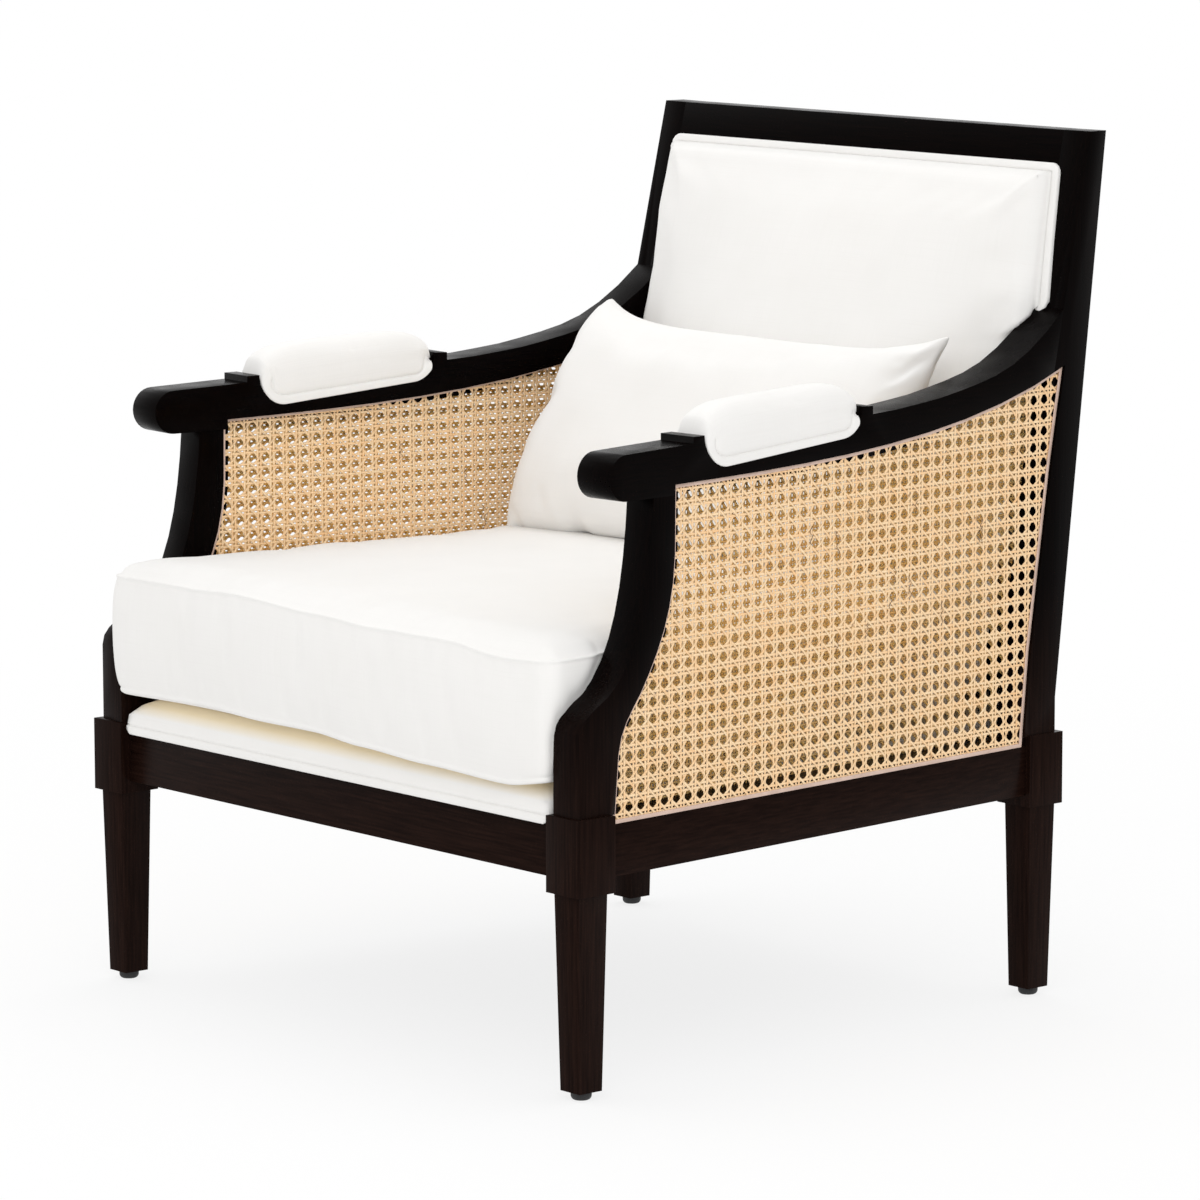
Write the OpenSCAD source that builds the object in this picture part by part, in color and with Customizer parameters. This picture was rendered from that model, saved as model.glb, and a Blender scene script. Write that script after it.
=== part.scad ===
// Armchair with double-caned sides, a raked show-wood frame and loose cushions.
// X runs across the chair, the chair faces -Y, Z is up and the glides stand on Z = 0.
// Each side frame is drawn in its own plane as [distance behind the front collar, height].

/* [Frame size] */
// Width over the collars of the front legs
front_w = 759.4; // [720:1:800]
// Width over the collars of the rear legs
rear_w = 656.4; // [630:1:690]
// Depth from the front collars' faces to the rear collars' faces
frame_d = 685.5; // [660:1:720]
// Height of the back
back_h = 870; // [850:1:900]
// Height of the arms' top at their front
arm_h = 605; // [595:1:615]
// Distance the back leans behind the rear collars at its top
back_rake = 65.5; // [50:0.5:80]

/* [Legs] */
// Side of the square collar on each leg
collar_w = 46; // [42:1:50]
// Height of the collars' lower edge
collar_bottom = 197; // [180:1:200]
// Height of the collars' upper edge
collar_top = 270; // [268:0.5:276]
// Width of a leg just under its collar
leg_top_w = 35; // [30:1:40]
// Width of a leg at its foot
leg_tip_w = 27.6; // [22:0.2:30]
// Diameter of the glides
glide_d = 20; // [16:1:21]
// Height of the glides
glide_h = 8.3; // [5:0.1:10]
// Diameter of the glides' pins
glide_pin_d = 5; // [4:0.5:6]
// Length of the glides' pins
glide_pin_l = 16; // [10:1:24]

/* [Seat frame] */
// Height of the rails
rail_h = 50; // [44:1:54]
// Height of the rails' upper edge
rail_top = 259; // [256:0.5:262]
// Thickness of the front and rear rails
rail_t = 30; // [24:1:34]
// Thickness of the side rails
side_rail_t = 40; // [38:0.5:42]
// Distance of the front and rear rails behind the collars' faces
rail_setback = 12; // [9:0.5:12]
// Reach of the corner blocks along each rail
block_leg = 78; // [66:1:90]
// Height of the corner blocks
block_h = 34; // [26:1:36]
// Thickness of the corner blocks
block_t = 16; // [12:1:20]
// Distance of the corner blocks under the rails' upper edge
block_drop = 6; // [4:0.5:10]
// Diameter of the dowels
dowel_d = 8; // [6:0.5:9]
// Depth of the dowels in each piece
dowel_reach = 26; // [20:1:28]
// Diameter of the screws
screw_d = 4; // [3:0.5:5]
// Depth of the block screws in the rails
screw_reach = 18; // [12:1:22]

/* [Side frames] */
// Thickness of the posts and stiles
side_t = 35; // [33:0.5:37]
// Distance of the side frames inside the collars' outer faces
side_inset = 5.5; // [4:0.5:7]
// Distance of a post behind its collar's face
post_inset = 8; // [6:0.5:11]
// Width of a post at its foot
post_foot_w = 45; // [42:0.5:48]
// Width of a post at its top
post_top_w = 29; // [26:0.5:32]
// Distance that a post curves back from foot to top
post_sweep = 98; // [88:1:106]
// Width of the arms
arm_w = 43; // [40:0.5:46]
// Thickness of the arms at their nose
arm_t = 44; // [40:0.5:46]
// Distance from the front of an arm's nose to the top of its post
nose_reach = 58; // [52:1:64]
// Slope of the arms' top
arm_slope = 0.027; // [0.015:0.003:0.039]
// Height of an arm's joint with its stile
arm_joint_h = 696; // [684:1:708]
// Depth of the stiles at their foot
stile_foot_d = 56; // [52:1:60]
// Depth of the stiles where the arms meet them
stile_mid_d = 50; // [47:1:54]
// Depth of the stiles at their top
stile_top_d = 23.4; // [22:0.2:30]
// Distance of the stiles' rear edge inside the rear collars' faces
stile_inset = 4; // [2:0.5:6]
// Height over the collars at which the stiles start to lean
stile_bend_rise = 35; // [25:1:38]
// Height under the arms' joint at which the stiles start to taper
stile_taper_drop = 98; // [85:1:110]
// Distance of the arms' lower edge under the cane's upper rear corner
arm_end_drop = 14; // [8:1:20]
// Height of the crest rail
crest_h = 36; // [30:1:44]
// Height of the lower back rail
back_rail_h = 50; // [44:1:56]
// Thickness of the lower back rail
back_rail_t = 24; // [20:0.5:26]
// Height of the lower back rail over the seat deck
back_rail_rise = 12; // [8:1:16]

/* [Cane] */
// Distance of the cane inside the side frames' faces
cane_inset = 4; // [3:0.5:5]
// Thickness of a cane sheet
cane_t = 1.5; // [1.2:0.1:2]
// Height of the cane panels' front upper corner below the arms' top
cane_top_drop = 34; // [32:1:36]
// Height that the cane panels' upper edge rises from front to rear
cane_rise = 68; // [60:1:74]
// Width of the wood ledge behind the edge of the cane
cane_lip = 9; // [7:0.5:10]
// Width of the reed splines
spline_w = 4; // [3:0.2:5]
// Thickness of the reed splines
spline_t = 1.2; // [0.8:0.1:2]
// Distance between the gaps in a cane sheet
cane_pitch = 47.7; // [45:0.3:60]
// Diameter of the gaps in a cane sheet
cane_gap = 31; // [24:0.5:34]
// Width of unbroken cane between the splines and the gaps
cane_margin = 3; // [2:0.5:6]

/* [Arm pads] */
// Distance of the arm pads behind the arms' nose
pad_setback = 126; // [118:1:134]
// Length of the arm pads
pad_l = 219; // [200:1:230]
// Height of the arm pads' crown over the arms' top
pad_crown = 33; // [24:1:36]
// Depth of the recess for a pad's flange in the arm
pad_sink = 4; // [3:0.5:5]
// Height that the pads' flange hangs down the arms at its front
pad_drop_front = 27; // [24:0.5:29]
// Height that the pads' flange hangs down the arms at its rear
pad_drop_rear = 20; // [18:0.5:24]
// Width of the arm pads' flange
pad_flange_w = 9; // [7:0.5:11]
// Reach of the round corners of the pads' flange
pad_rx = 36; // [30:1:42]
// Distance that the pads' flange stands proud of the arms' sides
pad_flange_proud = 1; // [0.5:0.1:2]
// Distance that the pads bulge past the arms' sides
pad_overhang = 2.5; // [1.5:0.1:3.5]
// Height of the front blocks over the arms' top
front_block_h = 6; // [4:0.5:8]
// Height of the rear blocks over the arms' top
rear_block_h = 9; // [6:0.5:12]
// Length of the blocks
block_l = 15; // [12:0.5:18]
// Thickness of the arm pads' boards
pad_board_t = 6; // [4:0.5:8]

/* [Seat and back upholstery] */
// Thickness of the webbing
webbing_t = 1.2; // [1:0.1:1.5]
// Width of the webbing straps
webbing_w = 50; // [44:1:54]
// Number of straps from front to rear
straps_along = 5; // [4:1:5]
// Number of straps from side to side
straps_across = 5; // [4:1:5]
// Gap between the outermost straps and the rear collars
strap_side_margin = 10; // [6:1:14]
// Gap between the straps at the front and rear and the collars
strap_end_margin = 2; // [1:0.5:5]
// Height of the seat deck's top
deck_top = 300; // [294:0.5:304]
// Distance of the deck's front edge behind the collars' faces
deck_setback = 5; // [3:0.5:8]
// Gap between the deck and the side frames
deck_side_gap = 4; // [3:0.5:6]
// Reach of the deck's rounded upper edge
deck_round = 16; // [12:1:22]
// Thickness of the deck's flange
deck_flange_t = 3; // [2:0.5:4]
// Height of the deck's flange
deck_flange_h = 7.8; // [6:0.2:10]
// Thickness of the inside back pad at its edge
back_pad_t = 24; // [18:1:36]
// Crown of the inside back pad over its edge
back_pad_crown = 41; // [20:1:41]
// Depth that the inside back pad sits behind the stiles' front edges
back_pad_sink = 12; // [8:1:14]
// Width of the inside back pad's flange
back_flange_w = 8; // [6:0.5:10]
// Distance that the inside back pad's flange stands before the stiles' front edges
back_flange_proud = 3; // [2:0.5:4]
// Gap between the inside back pad and the seat deck
back_pad_gap = 4; // [2:0.5:6]
// Thickness of the outside back panel
outback_t = 3; // [2:0.5:4]
// Distance of the outside back panel inside the stiles' rear edges
outback_sink = 5; // [4:0.5:8]
// Thickness of the dust cover
dust_t = 0.8; // [0.6:0.1:1]
// Distance of the dust cover inside the rails' outer faces
dust_margin = 6; // [4:0.5:10]

/* [Seat cushion] */
// Height of the cushion's boxing between its seams
boxing_h = 115; // [100:1:118]
// Crown of the cushion over its upper seam
cushion_crown = 20; // [12:1:24]
// Distance of the cushion's front behind the collars' faces
cushion_setback = 2; // [1:0.5:8]
// Depth of the cushion
cushion_d = 587; // [560:1:590]
// Gap between the cushion and the posts
cushion_side_gap = 4; // [3.5:0.5:8]
// Distance that the cushion's sides draw in between their corners
cushion_draw = 6; // [2:0.5:10]
// Height of the cushion's lower seam over its underside
seam_rise = 3; // [2:0.5:6]
// Bulge of the cushion's boxing past its seams
boxing_bulge = 2; // [1:0.5:4]
// Thickness of the padding round the cushion's core
wadding_t = 24; // [18:1:30]

/* [Lumbar pillow] */
// Width of the pillow
pillow_w = 508; // [460:1:512]
// Height of the pillow
pillow_h = 273; // [250:1:276]
// Thickness of the pillow at its middle
pillow_t = 104; // [80:1:108]
// Lean of the pillow from upright, in degrees
pillow_lean = 31; // [31:0.5:36]
// Distance of the pillow's lower edge behind the collars' faces
pillow_setback = 452; // [430:1:452]
// Distance that the pillow's edges draw in between its ears
pillow_draw = 9; // [4:0.5:14]
// Thickness of the pillow at its sewn edge
pillow_seam_t = 2; // [1:0.2:4]
// Thickness of the padding round the pillow's insert
pillow_wadding_t = 11; // [8:0.5:14]

/* [Hidden] */

wood_colour = "#241a16";
cane_colour = "#d9b57a";
reed_colour = "#c8a592";
fabric_colour = "#f3efe6";
foam_colour = "#efe2b4";
jute_colour = "#b08a5c";
black_colour = "#1d1d1f";
beech_colour = "#c79f6d";
steel_colour = "#a8abad";

// Fit of a piece in its seat, and gap between loose soft pieces
fit = 0.1;
rest_gap = 0.3;
// Overshoot of a cut, overlap of the members of one piece, and a long reach
cut = 1;
root = 1;
far = 100;

right = 1;
left = -1;
side_angle = atan((front_w - rear_w) / 2 / frame_d);
arm_bottom = arm_h - arm_t;
rail_bottom = rail_top - rail_h;
post_top_s = post_inset + post_sweep;
recess_d = cane_inset + cane_t;

function lerp(a, b, f) = a + (b - a) * f;
function unit(v) = v / norm(v);
function left_of(v) = [-v[1], v[0]];

// Points of a cubic curve, without its last point
function curve(p, n) = [
  for (i = [0:n - 1])
    let (t = i / n, u = 1 - t)
      u * u * u * p[0] + 3 * u * u * t * p[1] + 3 * u * t * t * p[2] + t * t * t * p[3]
];

// Points of a part of an ellipse
function arc(centre, rx, rz, from, to, n) = [
  for (i = [0:n])
    let (a = lerp(from, to, i / n))
      centre + [rx * cos(a), rz * sin(a)]
];

// Moves each point of a clockwise outline inwards by d
function shrink(p, d) = [
  for (i = [0:len(p) - 1])
    let (
      a = left_of(unit(p[i] - p[(i + len(p) - 1) % len(p)])),
      b = left_of(unit(p[(i + 1) % len(p)] - p[i])),
      n = unit(a + b)
    )
      p[i] - n * d / (n * a)
];

// Edges of a stile at a height
stile_foot_s = frame_d - stile_inset;
stile_bend_z = collar_top + stile_bend_rise;
stile_joint_z = arm_joint_h - stile_taper_drop;
function stile_rear(z) = z < stile_bend_z
  ? stile_foot_s
  : lerp(stile_foot_s, frame_d + back_rake, (z - stile_bend_z) / (back_h - stile_bend_z));
function stile_depth(z) = z < stile_joint_z
  ? lerp(stile_foot_d, stile_mid_d, (z - collar_top) / (stile_joint_z - collar_top))
  : lerp(stile_mid_d, stile_top_d, (z - stile_joint_z) / (back_h - stile_joint_z));
function stile_front(z) = stile_rear(z) - stile_depth(z);

// The pieces are drawn about the middle of the legs and stand centred under the whole chair
rear_top_y = -frame_d / 2 + stile_rear(back_h) * cos(side_angle) - side_inset * sin(side_angle);
centre_y = (rear_top_y - frame_d / 2) / 2;

module centred() {
  translate([0, -centre_y, 0]) children();
}

// S-curved front edge of a post, from its foot to the arm
function post_point(f, g) = [post_inset + f * post_sweep, lerp(collar_top, arm_bottom, g)];
post_front = concat(
  [post_point(0, 0)],
  curve([post_point(0, 0.26), post_point(0, 0.32), post_point(0.2, 0.345), post_point(0.38, 0.38)], 5),
  curve([post_point(0.38, 0.38), post_point(0.79, 0.47), post_point(0.95, 0.72), post_point(1, 1)], 8),
  [post_point(1, 1)]
);

// Visible edge of the cane: up the post, along the arm, down the stile
cane_front_z = arm_h - cane_top_drop;
cane_rear_z = cane_front_z + cane_rise;
cane_foot_s = post_inset + post_foot_w;
cane_top_s = post_top_s + post_top_w;
function cane_point(f, g) = [lerp(cane_foot_s, cane_top_s, f), lerp(rail_top, cane_front_z, g)];
function cane_rear(z) = stile_front(z) + cane_lip * lerp(1, 1.7, (z - rail_top) / (cane_rear_z - rail_top));
cane_l = cane_rear(cane_rear_z) - cane_top_s;
cane_front_edge = concat(
  [cane_point(0, 0)],
  curve([cane_point(0.07, 0.21), cane_point(0.11, 0.29), cane_point(0.27, 0.33), cane_point(0.43, 0.385)], 4),
  curve([cane_point(0.43, 0.385), cane_point(0.72, 0.5), cane_point(0.96, 0.61), cane_point(0.99, 0.79)], 6),
  [cane_point(0.99, 0.79)]
);
cane_top_edge = concat(
  curve([
    [cane_top_s, cane_front_z],
    [cane_top_s + 0.35 * cane_l, cane_front_z + 0.03 * cane_rise],
    [cane_top_s + 0.735 * cane_l, cane_front_z + 0.1 * cane_rise],
    [cane_top_s + cane_l, cane_rear_z]
  ], 10),
  [[cane_top_s + cane_l, cane_rear_z]]
);
cane_rear_edge = [
  for (f = [0.25:0.25:1])
    let (z = lerp(cane_rear_z, rail_top, f))
      [cane_rear(z), z]
];
cane_outline = concat(cane_front_edge, cane_top_edge, cane_rear_edge);

// Arms
nose_c = [post_top_s - nose_reach + arm_t / 2, arm_h - arm_t / 2];
function arm_top(s) = arm_h + arm_slope * (s - nose_c[0]);
arm_end_z = cane_rear_z - arm_end_drop;
pad_s0 = nose_c[0] - arm_t / 2 + pad_setback;
pad_s1 = pad_s0 + pad_l;
sweep_s = pad_s1 + block_l;
sweep_l = stile_front(arm_joint_h) - sweep_s;
sweep_rise = arm_joint_h - arm_top(sweep_s);
block_slope = 4;
block_fall = 1;
arm_outline = concat(
  arc(nose_c, arm_t / 2, arm_t / 2, 270, 90, 16),
  [
    [pad_s0 - block_l, arm_top(pad_s0 - block_l)],
    [pad_s0 - block_l, arm_top(pad_s0) + front_block_h],
    [pad_s0, arm_top(pad_s0) + front_block_h],
    [pad_s0 + block_slope, arm_top(pad_s0 + block_slope)],
    [pad_s1 - block_slope, arm_top(pad_s1 - block_slope)],
    [pad_s1, arm_top(pad_s1) + rear_block_h],
    [sweep_s, arm_top(sweep_s) + rear_block_h - block_fall]
  ],
  curve([
    [sweep_s, arm_top(sweep_s)],
    [sweep_s + 0.43 * sweep_l, arm_top(sweep_s) + 0.04 * sweep_rise],
    [sweep_s + 0.68 * sweep_l, arm_top(sweep_s) + 0.32 * sweep_rise],
    [sweep_s + sweep_l, arm_joint_h]
  ], 10),
  [
    [stile_front(arm_joint_h), arm_joint_h],
    [stile_front(arm_end_z), arm_end_z],
    [cane_top_s + 0.5 * cane_l, arm_bottom],
    [nose_c[0], arm_bottom]
  ]
);

// Recess of an arm pad in its arm, seen from the side
pad_end_drop = 2;
pad_z0 = arm_top(pad_s0) + front_block_h - pad_end_drop;
pad_z1 = arm_top(pad_s1) + rear_block_h - pad_end_drop;
pad_bottom0 = arm_top(pad_s0 + pad_rx) - pad_drop_front;
pad_bottom1 = arm_top(pad_s1 - pad_rx) - pad_drop_rear;
function pad_side(m, rise) = concat(
  [[pad_s0 + m, pad_z0 + rise], [pad_s1 - m, pad_z1 + rise]],
  arc([pad_s1 - pad_rx, pad_z1], pad_rx - m, pad_z1 - pad_bottom1 - m, 0, -90, 6),
  arc([pad_s0 + pad_rx, pad_z0], pad_rx - m, pad_z0 - pad_bottom0 - m, -90, -180, 6)
);
function quarter(f) = sqrt(max(0, 1 - f * f));
function pad_low(s, m) = s < pad_s0 + pad_rx
  ? pad_z0 - (pad_z0 - pad_bottom0 - m) * quarter((pad_s0 + pad_rx - s) / (pad_rx - m))
  : s > pad_s1 - pad_rx
  ? pad_z1 - (pad_z1 - pad_bottom1 - m) * quarter((s - pad_s1 + pad_rx) / (pad_rx - m))
  : lerp(pad_bottom0 + m, pad_bottom1 + m, (s - pad_s0 - pad_rx) / (pad_l - 2 * pad_rx));

// Places what is drawn in a side frame's own axes: X outwards from the collars' faces, Y along the side
module in_side(side) {
  mirror([side == left ? 1 : 0, 0, 0])
    translate([front_w / 2, -frame_d / 2, 0])
      rotate([0, 0, side_angle])
        children();
}

// A plate of a side frame: its outline goes inwards from a depth under the frame's outer face
module plate(depth, t) {
  translate([-side_inset - depth - t, 0, 0])
    rotate([90, 0, 90])
      linear_extrude(t)
        children();
}

// Half the distance between the side frames at a place along the chair
function inner_x(y, extra = 0) =
  front_w / 2 - (side_inset + side_t + extra) / cos(side_angle) - (y + frame_d / 2) * tan(side_angle);

// Place along the chair of a distance behind the front collar, at the side frames' inner faces
function side_y(s) = -frame_d / 2 + s * cos(side_angle) - (side_inset + side_t) * sin(side_angle);
function wood_y(z) = side_y(stile_front(z));

module between_sides(gap) {
  y0 = -frame_d / 2;
  y1 = frame_d / 2 + back_rake + far;
  linear_extrude(back_h + far)
    polygon([for (p = [[-1, y0], [1, y0], [1, y1], [-1, y1]]) [p[0] * inner_x(p[1], gap), p[1]]]);
}

// A profile drawn as [place along the chair, height], across the whole chair
module across() {
  rotate([90, 0, 90])
    linear_extrude(front_w, center = true)
      children();
}

function collar_x(side, y) = side * ((y < 0 ? front_w : rear_w) - collar_w) / 2;
collar_y = (frame_d - collar_w) / 2;

module collar(side, end, grow = 0) {
  w = collar_w + 2 * grow;
  translate([collar_x(side, end), end * collar_y, (collar_bottom + collar_top) / 2])
    cube([w, w, collar_top - collar_bottom + 2 * grow], center = true);
}

module collars(grow) {
  for (side = [left, right], end = [-1, 1])
    collar(side, end, grow);
}

module taper() {
  polygon([
    [-leg_tip_w / 2, glide_h], [leg_tip_w / 2, glide_h],
    [leg_top_w / 2, collar_bottom], [-leg_top_w / 2, collar_bottom]
  ]);
}

module tapered_leg(side, end) {
  translate([collar_x(side, end), end * collar_y, 0])
    intersection() {
      rotate([90, 0, 0]) linear_extrude(leg_top_w, center = true) taper();
      rotate([90, 0, 90]) linear_extrude(leg_top_w, center = true) taper();
    }
}

// The seats cut for the cane in both faces of a side frame, and the opening through it
module cane_seats(side) {
  in_side(side) {
    plate(-far, far + recess_d) polygon(cane_outline);
    plate(side_t - recess_d, far) polygon(cane_outline);
    plate(-cut, side_t + far) polygon(shrink(cane_outline, cane_lip));
  }
}

// Dowels: a place, a direction and how far they go each way
module dowel(at, turn, back, ahead, grow) {
  translate(at)
    rotate(turn)
      translate([0, 0, -back - grow])
        cylinder(h = back + ahead + 2 * grow, d = dowel_d + 2 * grow, $fn = 32);
}

rail_dowel_z = [0.18, 0.66];
side_dowel_z = [0.42, 0.84];
arm_post_dowel_s = [0.28, 0.8];
arm_stile_dowel_z = [0.22, 0.55];
crest_dowel_z = [0.25, 0.72];
back_rail_dowel_z = [0.28, 0.72];
rail_y = (frame_d - rail_t) / 2 - rail_setback;
rail_end_y = frame_d / 2 - collar_w;
rail_in = rail_y - rail_t / 2;

// Extra distance inwards from the side frames' inner faces to the side rails' two faces
rail_outer = cane_inset - side_t;
rail_inner = rail_outer + side_rail_t;

module rail_dowels(grow) {
  for (side = [left, right], end = [-1, 1]) {
    for (f = rail_dowel_z)
      dowel([collar_x(side, end) - side * collar_w / 2, end * rail_y, rail_bottom + f * rail_h],
        [0, 90, 0], dowel_reach, dowel_reach, grow);
    for (f = side_dowel_z)
      dowel([side * inner_x(end * rail_end_y, (rail_outer + rail_inner) / 2), end * rail_end_y,
        rail_bottom + f * rail_h],
        [90, 0, 0], dowel_reach, dowel_reach, grow);
  }
}

module arm_dowels(side, grow) {
  in_side(side) {
    for (f = arm_post_dowel_s)
      dowel([-side_inset - side_t / 2, lerp(post_top_s, cane_top_s + cane_lip, f), arm_bottom],
        [0, 0, 0], dowel_reach, dowel_reach, grow);
    for (f = arm_stile_dowel_z) {
      z = lerp(arm_end_z, arm_joint_h, f);
      dowel([-side_inset - side_t / 2, stile_front(z), z], [-90, 0, 0], dowel_reach, dowel_reach, grow);
    }
  }
}

// Dowels of the crest and the lower back rail, square to the side frames
back_rail_z = deck_top + back_rail_rise;
back_rail_sink = back_pad_sink + 2 * webbing_t;
crest_bottom = back_h - crest_h;

module back_dowels(side, grow) {
  in_side(side) {
    for (f = crest_dowel_z) {
      z = crest_bottom + f * crest_h;
      dowel([-side_inset - side_t, (stile_front(z) + stile_rear(z)) / 2, z], [0, 90, 0],
        dowel_reach, dowel_reach, grow);
    }
    for (f = back_rail_dowel_z) {
      z = back_rail_z + f * back_rail_h;
      dowel([-side_inset - side_t, stile_front(z) + back_rail_sink + back_rail_t / 2, z], [0, 90, 0],
        dowel_reach, dowel_reach, grow);
    }
  }
}

module pin_holes(side, end, grow) {
  translate([collar_x(side, end), end * collar_y, glide_h - cut])
    cylinder(h = glide_pin_l + cut + grow, d = glide_pin_d + 2 * grow, $fn = 32);
}

module front_leg(side) {
  color(wood_colour) centred()
    difference() {
      union() {
        tapered_leg(side, -1);
        collar(side, -1);
        in_side(side)
          plate(0, side_t)
            polygon(concat(
              [[post_inset, collar_top - root]],
              post_front,
              [[cane_top_s + cane_lip + cut, arm_bottom]],
              [for (i = [len(cane_front_edge) - 1:-1:1]) cane_front_edge[i] + [2 * cane_lip, 0]],
              [[cane_foot_s + cane_lip, collar_top], [cane_foot_s + cane_lip, collar_top - root]]
            ));
      }
      cane_seats(side);
      rail_dowels(fit);
      arm_dowels(side, fit);
      pin_holes(side, -1, fit);
    }
}

module rear_leg(side) {
  color(wood_colour) centred()
    difference() {
      union() {
        tapered_leg(side, 1);
        collar(side, 1);
        in_side(side)
          plate(0, side_t)
            polygon([
              [stile_front(collar_top), collar_top - root],
              [stile_front(collar_top), collar_top],
              [stile_front(stile_joint_z), stile_joint_z],
              [stile_front(back_h), back_h],
              [stile_rear(back_h), back_h],
              [stile_foot_s, stile_bend_z],
              [stile_foot_s, collar_top - root]
            ]);
      }
      cane_seats(side);
      rail_dowels(fit);
      arm_dowels(side, fit);
      back_dowels(side, fit);
      pin_holes(side, 1, fit);
    }
}

module pad_recess(side, depth) {
  in_side(side) {
    plate(-cut, depth + cut) polygon(pad_side(0, far));
    plate(arm_w - depth, depth + cut) polygon(pad_side(0, far));
    plate(-cut, arm_w + 2 * cut)
      polygon([
        [pad_s0 + pad_flange_w, arm_top(pad_s0 + pad_flange_w) - depth],
        [pad_s1 - pad_flange_w, arm_top(pad_s1 - pad_flange_w) - depth],
        [pad_s1, pad_z1 + far], [pad_s0, pad_z0 + far]
      ]);
  }
}

function top_z(s) = lookup(s, cane_top_edge);
pad_screw_f = [0.25, 0.75];

// The pads' screws start at the wood over the cane's opening and end in the pads' boards
module pad_screws(side, grow) {
  for (f = pad_screw_f) {
    s = pad_s0 + f * pad_l;
    z = top_z(s) - cane_lip;
    in_side(side)
      translate([-side_inset - arm_w / 2, s, z])
        screw(arm_top(s) - pad_sink + pad_board_t / 2 - z, grow);
  }
}

// A countersunk screw, its point upwards and its head's face at the origin. Its hole opens before the head
module screw(l, grow) {
  open = grow > 0 ? 3 * screw_d : 0;
  rotate_extrude($fn = 32)
    polygon([
      [0, -open], [screw_d + grow, -open], [screw_d + grow, screw_d / 4], [screw_d / 2 + grow, screw_d * 0.8],
      [screw_d / 2 + grow, l - screw_d], [grow / 2, l + grow], [0, l + grow]
    ]);
}

module arm(side) {
  color(wood_colour) centred()
    difference() {
      in_side(side) plate(0, arm_w) polygon(arm_outline);
      cane_seats(side);
      pad_recess(side, pad_sink);
      arm_dowels(side, fit);
      pad_screws(side, fit);
    }
}

module cross_rail(end) {
  w = (end < 0 ? front_w : rear_w) - 2 * collar_w;
  color(wood_colour) centred()
    difference() {
      translate([0, end * rail_y, rail_bottom + rail_h / 2])
        cube([w, rail_t, rail_h], center = true);
      rail_dowels(fit);
      block_screws(fit);
    }
}

// A side rail runs between the collars, its outer face in line with the face of the cane
module side_rail(side) {
  y = rail_end_y;
  color(wood_colour) centred()
    difference() {
      mirror([side == left ? 1 : 0, 0, 0])
        translate([0, 0, rail_bottom])
          linear_extrude(rail_h + cane_lip)
            polygon([
              [inner_x(-y, rail_outer), -y], [inner_x(y, rail_outer), y],
              [inner_x(y, rail_inner), y], [inner_x(-y, rail_inner), -y]
            ]);
      in_side(side)
        for (depth = [recess_d - far, side_t - recess_d])
          plate(depth, far)
            translate([-cut, rail_top]) square([frame_d, 2 * cane_lip]);
      rail_dowels(fit);
      block_screws(fit);
    }
}

module crest_rail() {
  color(wood_colour) centred()
    difference() {
      intersection() {
        across()
          polygon([
            [wood_y(crest_bottom), crest_bottom], [wood_y(back_h), back_h],
            [side_y(stile_rear(back_h)), back_h], [side_y(stile_rear(crest_bottom)), crest_bottom]
          ]);
        between_sides(0);
      }
      for (side = [left, right]) back_dowels(side, fit);
    }
}

module lower_back_rail() {
  z1 = back_rail_z + back_rail_h;
  y0 = side_y(stile_front(back_rail_z) + back_rail_sink);
  y1 = side_y(stile_front(z1) + back_rail_sink);
  color(wood_colour) centred()
    difference() {
      intersection() {
        across()
          polygon([
            [y0, back_rail_z], [y1, z1], [y1 + back_rail_t, z1], [y0 + back_rail_t, back_rail_z]
          ]);
        between_sides(0);
      }
      for (side = [left, right]) back_dowels(side, fit);
    }
}

// Corner blocks fill the angle between two rails and are notched round the collar
block_z = rail_top - block_h - block_drop;

module block(side, end) {
  y0 = end * rail_in;
  y1 = end * (rail_in - block_leg);
  x_tip = side * (inner_x(y0, rail_inner) - block_leg);
  difference() {
    translate([0, 0, block_z])
      linear_extrude(block_h)
        polygon([
          [side * inner_x(y0, rail_inner), y0], [side * inner_x(y1, rail_inner), y1],
          [side * inner_x(y1, rail_inner + block_t), y1], [x_tip, y0 - end * block_t], [x_tip, y0]
        ]);
    collar(side, end, fit);
    block_screws(fit);
  }
}

module block_screws(grow) {
  along = block_leg - block_t / 2 - screw_d;
  deep = block_leg + block_t - along - screw_d;
  apart = block_h / 5;
  z = block_z + block_h / 2;
  for (side = [left, right], end = [-1, 1]) {
    y = end * rail_in;
    x = side * inner_x(y, rail_inner);
    translate([x - side * along, y - end * deep, z + apart])
      rotate([end * -90, 0, 0])
        screw(deep + screw_reach, grow);
    translate([x - side * deep, y - end * along, z - apart])
      rotate([0, side * 90, 0])
        screw(deep + screw_reach, grow);
  }
}

module corner_blocks() {
  color(beech_colour) centred()
    for (side = [left, right], end = [-1, 1]) block(side, end);
}

module corner_block_screws() {
  color(steel_colour) centred() block_screws(0);
}

module joint_dowels() {
  color(beech_colour) centred() {
    rail_dowels(0);
    for (side = [left, right]) {
      arm_dowels(side, 0);
      back_dowels(side, 0);
    }
  }
}

module glide() {
  r = glide_d / 2;
  flat_r = r * 0.6;
  round_h = glide_h * 0.55;
  pin_r = glide_pin_d / 2;
  pin_top = glide_h + glide_pin_l;
  rotate_extrude($fn = 48)
    polygon(concat(
      [[0, 0], [flat_r, 0]],
      arc([flat_r, round_h], r - flat_r, round_h, -90, 0, 5),
      [[r, glide_h], [pin_r, glide_h], [pin_r, pin_top], [0, pin_top]]
    ));
}

module glides() {
  color(black_colour) centred()
    for (side = [left, right], end = [-1, 1])
      translate([collar_x(side, end), end * collar_y, 0]) glide();
}

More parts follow.
